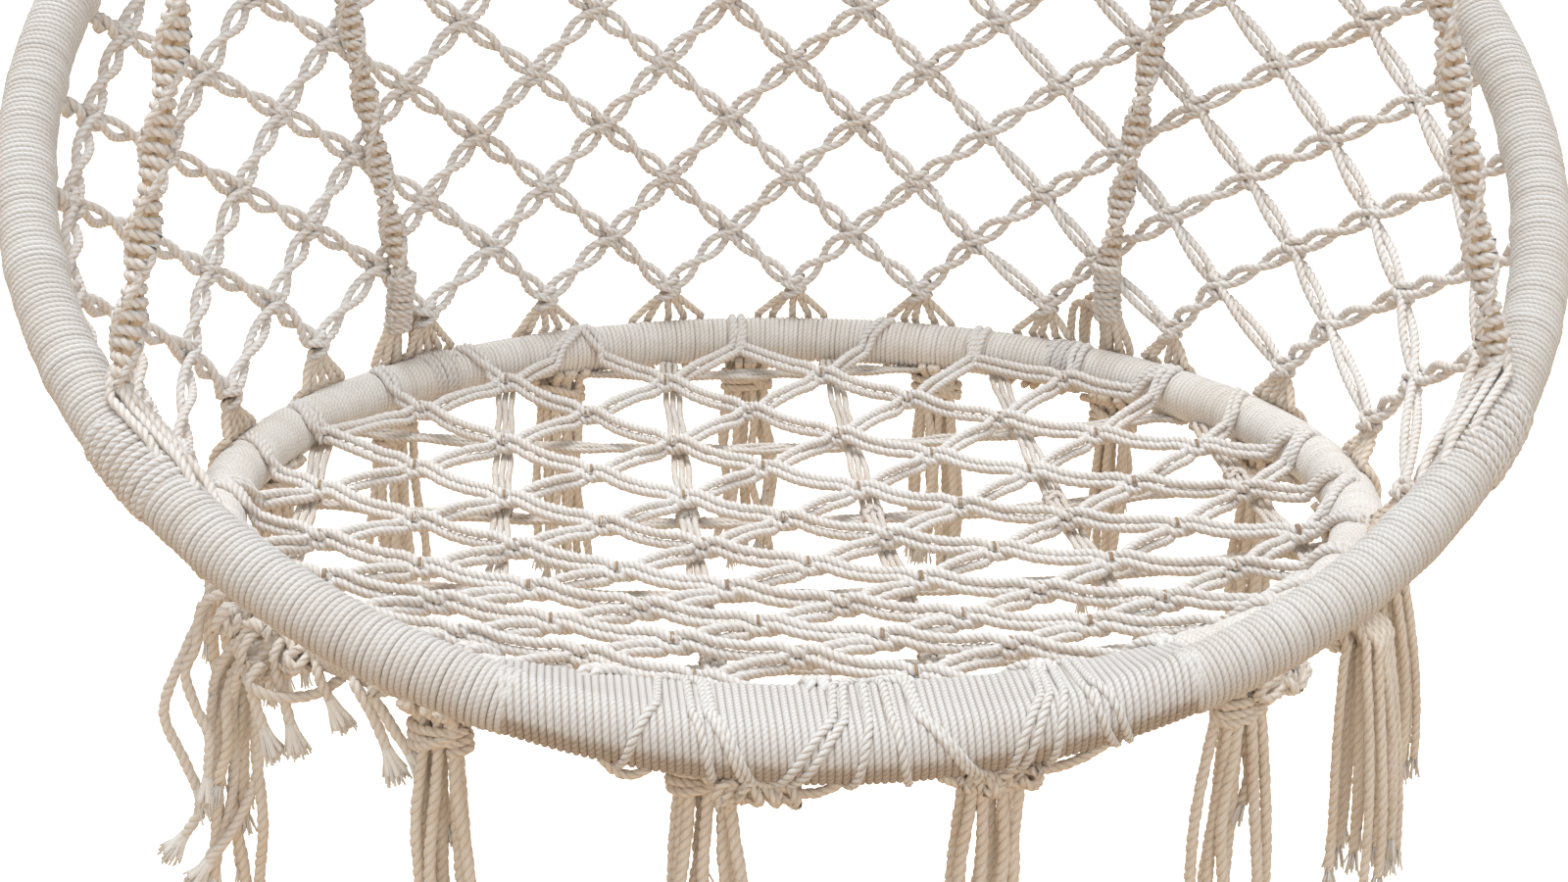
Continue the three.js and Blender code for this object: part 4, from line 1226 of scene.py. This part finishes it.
def hanging(start, length, luck, sway, spread, along, out):
    """A loose cord from a point down: it leans out by its spread and wavers on the way."""
    bend, turn = luck.uniform(-sway, sway), luck.uniform(0, 6.28)
    other, rate = luck.uniform(-sway, sway), luck.uniform(0.7, 1.3)
    cord = [start]
    for k in range(1, 13):
        t = k / 12
        wave = bend * math.sin(2 * math.pi * rate * t + turn) - bend * math.sin(turn)
        cross = other * math.sin(1.7 * math.pi * rate * t + turn) - other * math.sin(turn)
        ease = 1 - (1 - t) ** 2
        sideways = along * (spread[0] * ease + wave * ease)
        outward = out * (spread[1] * ease + cross * 0.6 * ease)
        cord.append(start + sideways + outward - UP * (length * t))
    return cord


def tassel_cords(angle, luck):
    """A tassel's cords from under the hoop to their ends, with the place and direction of each end."""
    out, along = seat_hoop.out(angle), seat_hoop.along(angle)
    neck = seat_hoop.at(angle) - UP * NECK_BELOW
    from_front = abs(math.degrees(math.atan2(out.x, -out.y)))
    count, deep, outward = PLAIN_TASSEL
    if 50 < from_front < 90:
        count, deep, outward = (RIGHT_TASSELS if out.x > 0 else LEFT_TASSELS)[from_front > 70]
    crowded = count > 12
    half, widening, sway = (18, 8.0, 1.8) if crowded else (12, 5.0, 4.5)
    least, most = (0.9, 1.0) if crowded else (0.4, 0.75)
    cords, ends = [], []
    for number in range(count):
        row = (number % 3 - 1) or (1 if number % 2 else -1) * 0.3
        share = 2 * (number + 0.5) / count - 1
        section, turn = (-0.6, -0.3) if row > 0 else (-2.54, 0.3)
        cord = [
            seat_hoop.round_it(angle, section + turn * k, WRAP_RADIUS + 2.5, share * (KNOT_HALF - k))
            for k in range(3)
        ]
        start = neck + along * (share * half) + out * (row * deep * 0.8 + outward)
        length = TASSEL_REACH - NECK_BELOW - FRAY - luck.uniform(0, 14)
        if luck.random() < SHORT_ONES:
            length *= luck.uniform(least, most)
        sideways = share * widening + luck.uniform(-4.5, 4.5)
        spread = (sideways, row * deep * 0.7 + outward * 0.5 + luck.uniform(-3, 3))
        cord = curve_through(cord + hanging(start, length, luck, sway, spread, along, out), 5)
        cords.append(cord)
        ends.append((cord[-1], (cord[-1] - cord[-6]).normalized()))
    return cords, ends, neck


def gathering(neck, along, out):
    """The cord tied round a tassel's neck: two turns that sink a little and one that crosses them."""
    turns, crossing = [], []
    for n in range(44):
        a = 2 * math.pi * n / 20
        rise = UP * (4.5 - 4.8 * n / 20)
        turns.append(neck + along * (TIE_WIDE * math.cos(a)) + out * (TIE_DEEP * math.sin(a)) + rise)
    for a in full_turn(20):
        rise = UP * (6.5 * math.cos(a + 0.5))
        crossing.append(neck + along * (CROSS_WIDE * math.cos(a)) + out * (CROSS_DEEP * math.sin(a)) + rise)
    return [turns, crossing]


# %% [markdown]
# A cut cord opens at its end. Most ends get a brush of hairs, each only three points long, because
# there are thousands of them; the larger ends at the corner also get a tuft of thick strands inside.

# %% Frayed ends


def brush(spot, way, luck, hairs=16, size=1.0):
    """The fibres of one frayed end."""
    fibres = []
    side = way.orthogonal().normalized()
    other = way.cross(side)
    for _ in range(hairs):
        angle, spread = luck.uniform(0, 6.28), size * luck.uniform(0.8, 5.2)
        aside = side * math.cos(angle) + other * math.sin(angle)
        start = spot + aside * luck.uniform(0.4, 2.0) - way * 2.0
        middle = spot + aside * (spread * 0.7) + way * (size * luck.uniform(4, 6))
        tip = spot + aside * spread + way * (size * luck.uniform(8, FRAY))
        fibres.append([start, middle, tip])
    return fibres


def tuft(spot, way, luck, size=1.0):
    """The thick strands in the middle of one frayed end."""
    side = way.orthogonal().normalized()
    other = way.cross(side)
    strands = []
    for number in range(7):
        angle, reach = 1.05 * number, (0.0 if number == 6 else 1.0)
        aside = side * math.cos(angle) + other * math.sin(angle)
        tip = size * luck.uniform(7.0, 9.5)
        middle = spot + aside * (2.2 * reach * size) + way * (tip * 0.5)
        end = spot + aside * (3.6 * reach * size) + way * tip
        strands.append([spot + aside * (1.2 * reach) - way * 3.0, middle, end])
    return strands


# %% The tassels
TASSELS, FIRST_SEED = 15, 90
MOVED_TASSEL, MOVED_BY = 396, 13.0  # one tassel's angle in degrees, and its shift along the hoop

tassel_length, all_fibres = 0.0, []
for number in range(TASSELS):
    angle = math.pi + 2 * math.pi * number / TASSELS
    if abs(math.degrees(angle) - MOVED_TASSEL) < 1:
        angle += MOVED_BY / SEAT_RADIUS
    luck = random.Random(FIRST_SEED + number)
    cords, ends, neck = tassel_cords(angle, luck)
    name = f"tassel_{number + 1:02d}"
    thickness = TASSEL_CORD if len(cords) < 12 else TASSEL_CORD - 0.8
    piece, length = lay_cord(name + "_cords", cords, thickness, fringe_cotton, step=3.0, pitch=15.0)
    tassel_length += length
    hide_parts(name)
    binding = gathering(neck, seat_hoop.along(angle), seat_hoop.out(angle))
    tied, _ = lay_cord(name + "_tie", binding, 5.0, fringe_cotton, step=2.6)
    carried((piece, tied), "seat")
    for spot, way in ends:
        all_fibres += brush(spot, way, luck)
print(f"tassels: {tassel_length / 1000:.1f} m of cord")

# %% [markdown]
# More cords end under the front. The seat net's last loops come over the binding as pairs that part
# like a V, and are knotted below it. They follow the binding, and they are grouped by their place
# across the front.

# %% Cords over the binding
LOOPS_AND_LEGS = (  # where a loop's top is across the front, and its legs' feet with their cords
    (-74.0, ((-103.0, 1), (-60.0, 1), (-42.0, 2))),
    (8.0, ((-38.0, 2), (-6.0, 1), (22.0, 1), (58.0, 2))),
    (90.0, ((64.0, 2), (80.0, 1), (118.0, 2))),
)
CORDS_BESIDE, TOPS_BESIDE = 4.3, 4.6
BAND_FROM, BAND_ROUND = 58, 215  # degrees round the band
luck = random.Random(21)

over_binding = []
for top, legs in LOOPS_AND_LEGS:
    for place, (foot, count) in enumerate(legs):
        for cord in range(count):
            beside = (cord - (count - 1) / 2) * CORDS_BESIDE
            side = top + (place - (len(legs) - 1) / 2) * TOPS_BESIDE + beside * 0.6
            run = [Vector((side, -262.0, bowl(side, -262.0) + 2)), Vector((side, -276.0, 3.0))]
            bow = luck.uniform(-3.0, 3.0)
            for n in range(21):
                share = n / 20
                low = math.sin(math.pi * share)
                x = side + (foot + beside - side) * share ** 0.85 + bow * low
                round_it = math.radians(BAND_FROM + BAND_ROUND * share)
                run.append(band_point(x, round_it, WRAP_RADIUS + 0.1 - 0.4 * low))
            over_binding.append(run)
print("cords over the binding", len(over_binding))

# %% Knots under the binding
GROUP = 46.0  # the width across the front of one group
KNOTS_AT, KNOTS_BESIDE = (-40.0, 62.0), (-15.0, -6.0, 2.0, 11.0)
LINKS = ((-66.0, -34.0), (-36.0, -8.0), (34.0, 62.0), (62.0, 108.0), (-108.0, -88.0))


def knot_lump(spot, size, luck, loops=4):
    """A knot of loops that lean every way round one spot."""
    made = []
    for _ in range(loops):
        axis = Vector((luck.uniform(-1, 1), luck.uniform(-1, 1), luck.uniform(-0.6, 0.6))).normalized()
        side = axis.orthogonal().normalized()
        other = axis.cross(side)
        beside = Vector((luck.uniform(-1, 1), luck.uniform(-1, 1), luck.uniform(-1, 1)))
        centre = spot + beside * (size * 0.25)
        long, short = size * luck.uniform(0.85, 1.1), size * luck.uniform(0.55, 0.8)
        loop = [centre + side * (long * math.cos(a)) + other * (short * math.sin(a)) for a in full_turn(18)]
        made.append(loop)
    return made


under_binding = []
for x in KNOTS_AT:
    spot = band_point(x, math.radians(250), WRAP_RADIUS + 2.6)
    for place in KNOTS_BESIDE:
        beside = Vector((place, luck.uniform(-2, 2), luck.uniform(-1, 1)))
        under_binding += knot_lump(spot + beside, 6.0, luck, 3)
for start, end in LINKS:
    run = []
    for n in range(13):
        share = n / 12
        low = math.sin(math.pi * share)
        x = start + (end - start) * share
        run.append(band_point(x, math.radians(236 + 18 * low), WRAP_RADIUS - 1.5 + 5.0 * low))
    under_binding.append(run)
for kind, runs, thickness, finish, step, pitch in (
    ("binding_crossing_cords", over_binding, 4.4, crossing_cotton, 2.2, 11.0),
    ("binding_under_knots", under_binding, 4.8, under_cotton, 2.6, 12.0),
):
    for place in range(-2, 3):
        group = [run for run in runs if round(sum(spot.x for spot in run) / len(run) / GROUP) == place]
        if group:
            made, _ = lay_cord(f"{kind}_{place + 3}", group, thickness, finish, step=step, pitch=pitch)
            cross_the_front(made, place * GROUP)

# %% [markdown]
# At the front corners, where both hoops meet, the back net's spare ends are knotted together and left
# to hang, each with its own frayed tip. The left corner is the one that is seen close by, so its cords
# follow points that were placed one by one; each list runs from the knot down to the end.

# %% Loose ends at the front corners
HANGING_ENDS = (
    ((-285, -168, 24), (-291, -170, 4), (-300, -172, -14), (-313, -170, -46), (-306, -168, -72),
     (-300, -165, -92)),
    ((-279, -176, 16), (-291, -175, 8), (-295, -175, -12), (-301, -175, -25), (-297, -175, -44),
     (-292, -175, -58), (-294, -175, -82)),
    ((-266, -180, 2), (-283, -172, -20), (-290, -165, -39), (-292, -160, -70), (-292, -160, -112),
     (-296, -160, -138)),
    ((-268, -182, -6), (-276, -176, -26), (-281, -168, -47), (-282, -165, -78), (-288, -165, -108),
     (-300, -165, -132)),
    ((-264, -184, -8), (-268, -178, -26), (-270, -172, -55), (-271, -170, -80), (-282, -172, -106),
     (-298, -172, -128)),
    ((-290, -166, -40), (-293, -162, -60), (-296, -160, -94), (-303, -160, -108), (-311, -158, -120)),
    ((-262, -190, -8), (-267, -200, -20), (-266, -200, -31), (-262, -200, -46)),
    ((-250, -192, -8), (-256, -200, -14), (-254, -200, -22), (-250, -200, -44)),
    ((-236, -204, 0), (-235, -214, -8), (-234, -215, -14), (-229, -215, -26)),
    ((-216, -222, -6), (-217, -233, -8), (-214, -235, -13), (-208, -235, -27), (-203, -235, -42)),
    ((-205, -230, -8), (-209, -237, -12), (-205, -238, -19), (-199, -238, -31), (-192, -238, -43)),
)
TIED_BACK = (
    (-262, -198, -12), (-268, -205, -19), (-258, -206, -25), (-247, -206, -26), (-236, -206, -24),
    (-224, -212, -14),
)
LEFT_KNOTS = (
    ((-276, -186, 5), 8.0), ((-266, -192, -4), 9.5), ((-252, -197, -4), 9.0), ((-243, -203, -8), 8.0),
    ((-266, -190, -17), 8.0), ((-206, -236, -8), 6.0),
)
RIGHT_KNOTS = (39, 41, 43)  # degrees from the front
stray_luck = random.Random(5)

strays, corner_fibres, corner_tufts = [], [], []
for points in HANGING_ENDS:
    cord = curve_through([Vector(point) for point in points], 8)
    way = (cord[-1] - cord[-6]).normalized()
    strays.append(cord)
    corner_fibres += brush(cord[-1], way, stray_luck, 60, 1.3)
    corner_tufts += tuft(cord[-1], way, stray_luck, 1.25)
strays.append(curve_through([Vector(point) for point in TIED_BACK], 8))
lumps = []
for spot, size in LEFT_KNOTS:
    lumps += knot_lump(Vector(spot), size, stray_luck)
for degrees in RIGHT_KNOTS:
    spot = seat_hoop.round_it(math.radians(degrees), -1.0, WRAP_RADIUS + 6.5)
    lumps += knot_lump(spot, 7.0, stray_luck)
loose, _ = lay_cord("corner_loose_ends", strays, 5.6, corner_cotton, step=2.8, pitch=14.0)
lumped, _ = lay_cord("corner_knots", lumps, 4.8, corner_cotton, step=2.6, pitch=12.0)
frayed, _ = lay_cord("frayed_tips", all_fibres, 1.1, brush_cotton, step=6.0, outline=HAIR)
brushes, _ = lay_cord("corner_brushes", corner_fibres, 1.1, brush_cotton, step=6.0, outline=HAIR)
tufts, _ = lay_cord("corner_tufts", corner_tufts, 3.0, brush_cotton, step=2.0, outline=ROUND)
carried((loose, lumped, frayed, brushes, tufts), "seat")

# %% [markdown]
# At the top the ropes' cords fold over the steel ring and are bound into one neck. The ring is round
# bar, bent and butt-welded, so a full spin of a circle makes it and a slight bead marks the weld.

# %% The steel
STEEL_GREY = (0.62, 0.62, 0.61)

steel = bpy.data.materials.new("Bright steel")
steel.use_nodes = True
tree = steel.node_tree
surface = tree.nodes["Principled BSDF"]
where = node(tree, "ShaderNodeTexCoord")
scratches = node(tree, "ShaderNodeTexNoise", None, {"Scale": 260.0, "Detail": 3.0, "Distortion": 0.6})
tree.links.new(where.outputs["Object"], scratches.inputs["Vector"])
to_shine = {"From Min": 0.3, "From Max": 0.7, "To Min": 0.24, "To Max": 0.42}
shine = node(tree, "ShaderNodeMapRange", None, to_shine)
tree.links.new(scratches.outputs["Fac"], shine.inputs["Value"])
tree.links.new(shine.outputs["Result"], surface.inputs["Roughness"])
surface.inputs["Base Color"].default_value = (*STEEL_GREY, 1.0)
surface.inputs["Metallic"].default_value = 1.0
for name in ("back_hoop_tube", "seat_hoop_tube"):
    tube = frame["nodes"][name]
    tube.data.materials.clear()
    tube.data.materials.append(steel)

# %% The hanging ring
BAR_RADIUS, RING_RADIUS, RING_DROP = 5 * MM, 35 * MM, 30 * MM
BEAD_HALF, BEAD = 2.2 * MM, 0.0003

work = bmesh.new()
bmesh.ops.create_circle(work, segments=20, radius=BAR_RADIUS)
bmesh.ops.rotate(work, verts=work.verts, matrix=Matrix.Rotation(math.pi / 2, 3, "Y"))
bmesh.ops.translate(work, verts=work.verts, vec=Vector((0, 0, -RING_RADIUS)))
spun = work.verts[:] + work.edges[:]
bmesh.ops.spin(work, geom=spun, cent=(0, 0, 0), axis=(0, 1, 0), angle=2 * math.pi, steps=72, use_merge=True)
bmesh.ops.translate(work, verts=work.verts, vec=Vector((0, 0, -RING_DROP)))
close_and_smooth(work)
for vert in work.verts:
    if vert.co.z > -RING_DROP and abs(vert.co.x) < BEAD_HALF:
        middle = Vector((vert.co.x, 0, RING_RADIUS - RING_DROP))
        vert.co += (vert.co - middle).normalized() * BEAD
mesh = bpy.data.meshes.new("hanging_ring_bar")
work.to_mesh(mesh)
work.free()
mesh.materials.append(steel)
ring = add_object("hanging_ring_bar", mesh)
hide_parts("hanging_ring")
carried((ring,), "ring")
print("ring", len(mesh.polygons), "faces")

# %% [markdown]
# The crown knot is six cords laid side by side over the ring's bar. A whipping of seven turns binds
# them below it, round a thick core that fills the knot.

# %% The crown knot
HOOK = -SEAT_MIDDLE
LOOP_GAP, LOOP_REACH = 5.0, 7.8
RING_MIDDLE_RADIUS, WIRE_BELOW = 35, -65  # the ring's bar, at its lowest below the hook
SHOULDER, LOOP_FOOT = -85, -112
WHIPPING_WIDE, WHIPPING_DEEP, WHIPPING_TURNS, WHIPPING_PITCH = 17.3, 14.6, 7, 5.2
CORE_TOP, CORE_FOOT = -80, -114


def crown_loop(number):
    """One cord of the crown: up the ring's front side, over its bar and down behind it."""
    x = LOOP_GAP * (number - 2.5)
    lift = RING_MIDDLE_RADIUS - math.sqrt(RING_MIDDLE_RADIUS ** 2 - x * x)
    wire = HOOK + Vector((x, 0, WIRE_BELOW + lift))
    loop = [HOOK + Vector((x * 0.9, -9, LOOP_FOOT)), HOOK + Vector((x, -9.0, SHOULDER))]
    for a in full_turn(20)[:11]:
        loop.append(wire + Vector((0, -LOOP_REACH * math.cos(a), LOOP_REACH * math.sin(a))))
    loop += [HOOK + Vector((x, 9.0, SHOULDER)), HOOK + Vector((x * 0.9, 9, LOOP_FOOT))]
    return curve_through(loop, 6)


whipped = []
for n in range(40 * WHIPPING_TURNS):
    a = 2 * math.pi * n / 40
    height = CORE_TOP - WHIPPING_PITCH * n / 40
    whipped.append(HOOK + Vector((WHIPPING_WIDE * math.cos(a), WHIPPING_DEEP * math.sin(a), height)))
inner = [[HOOK + Vector((6.5 * i, 5 * j, z)) for z in (CORE_TOP, CORE_FOOT)] for i, j in ((-1, 1), (1, -1))]
crown, _ = lay_cord("crown_loops", [crown_loop(number) for number in range(6)], 5.2, rope_cotton, step=2.6)
whipping, _ = lay_cord("crown_whipping", [whipped], 5.2, rope_cotton, step=3.0)
stuffing, _ = lay_cord("crown_core", inner, 13.0, rope_cotton, step=4.0, outline=HEAVY_ROUND)
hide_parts("crown_knot")
carried((crown, whipping, stuffing), "back")

# %% [markdown]
# The photograph was taken from a little left of the chair and above it, with soft light from all
# sides on a white ground. The camera stands where a fit to both hoops puts it.

# %% Camera
EYE_PLACE = Vector((-118.7, -1269.6, 437.3))
AZIMUTH, ELEVATION, ROLL = (math.radians(value) for value in (-5.23, 17.84, 0.47))
SENSOR, FOCAL_PIXELS, FRAME_WIDTH = 36.0, 2520, 1600

eye = in_frame(EYE_PLACE)
level = math.cos(ELEVATION)
back = Vector((math.sin(AZIMUTH) * level, -math.cos(AZIMUTH) * level, math.sin(ELEVATION)))
right = UP.cross(back).normalized()
above = back.cross(right)
turned_right = right * math.cos(ROLL) + above * math.sin(ROLL)
turned_up = above * math.cos(ROLL) - right * math.sin(ROLL)
camera_data = bpy.data.cameras.new("Camera")
camera_data.sensor_width = SENSOR
camera_data.lens = SENSOR * FOCAL_PIXELS / FRAME_WIDTH
camera_data.clip_end = 50.0
camera = add_object("Camera", camera_data)
camera.matrix_world = Matrix((
    (turned_right.x, turned_up.x, back.x, eye.x),
    (turned_right.y, turned_up.y, back.y, eye.y),
    (turned_right.z, turned_up.z, back.z, eye.z),
    (0, 0, 0, 1),
))
bpy.context.scene.camera = camera
bpy.context.scene.view_settings.view_transform = "Standard"
print("camera at", [round(value, 3) for value in eye])

# %% [markdown]
# White cord on white ground keeps its edges only if the ground is plain white to the camera, yet
# sends little light up to the cord. So the floor is a tan one that glows for camera rays alone.

# %% The floor
FLOOR_HALF, FLOOR_DROP = 9.0, -2.0
FLOOR_TAN, WHITE_GLOW = (0.64, 0.50, 0.36, 1.0), (1.0, 1.0, 1.0, 1.0)

work = bmesh.new()
bmesh.ops.create_grid(work, x_segments=1, y_segments=1, size=FLOOR_HALF)
bmesh.ops.translate(work, verts=work.verts, vec=Vector((0, 0, FLOOR_DROP)))
floor_mesh = bpy.data.meshes.new("floor")
work.to_mesh(floor_mesh)
work.free()
floor = add_object("floor", floor_mesh)
pale = bpy.data.materials.new("Pale floor")
pale.use_nodes = True
surface = pale.node_tree.nodes["Principled BSDF"]
surface.inputs["Base Color"].default_value = FLOOR_TAN
surface.inputs["Roughness"].default_value = 0.9
surface.inputs["Emission Color"].default_value = WHITE_GLOW
seen = node(pale.node_tree, "ShaderNodeLightPath")
glow = maths(pale.node_tree, "MULTIPLY", seen.outputs["Is Camera Ray"], 1.0)
pale.node_tree.links.new(glow, surface.inputs["Emission Strength"])
floor_mesh.materials.append(pale)
print("floor", 2 * FLOOR_HALF, "m wide")

# %% [markdown]
# The light is that of a bright room: an even glow from everywhere, a broad lamp overhead that marks
# the ribs and knots from above, and a weaker one from the front. Sun lamps with a wide angle light the
# ropes' tops as they do the seat.

# %% The light
SKY, SKY_STRENGTH, LAMP_WHITE = (0.975, 0.99, 1.0, 1.0), 0.49, (0.985, 0.992, 1.0)
LAMPS = (  # name, direction to it, strength, and how wide it is in degrees
    ("Overhead", (-0.14, 0.04, 1.0), 2.12, 34.0),
    ("Front fill", (0.3, -1.0, 0.5), 0.46, 60.0),
)

world = bpy.data.worlds.new("Studio") if not bpy.data.worlds else bpy.data.worlds[0]
bpy.context.scene.world = world
world.use_nodes = True
world.node_tree.nodes["Background"].inputs["Color"].default_value = SKY
world.node_tree.nodes["Background"].inputs["Strength"].default_value = SKY_STRENGTH
for name, way, power, spread in LAMPS:
    data = bpy.data.lights.new(name, "SUN")
    data.angle = math.radians(spread)
    data.energy = power
    data.color = LAMP_WHITE
    lamp = add_object(name, data)
    lamp.matrix_world = Vector(way).to_track_quat("Z", "Y").to_matrix().to_4x4()
print("lamps", len(LAMPS))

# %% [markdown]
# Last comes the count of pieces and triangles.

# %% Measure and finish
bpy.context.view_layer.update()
pieces = [o for o in bpy.data.objects if o.type == "MESH" and not o.get("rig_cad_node")]
print("pieces", len(pieces), "triangles", sum(len(f.vertices) - 2 for o in pieces for f in o.data.polygons))
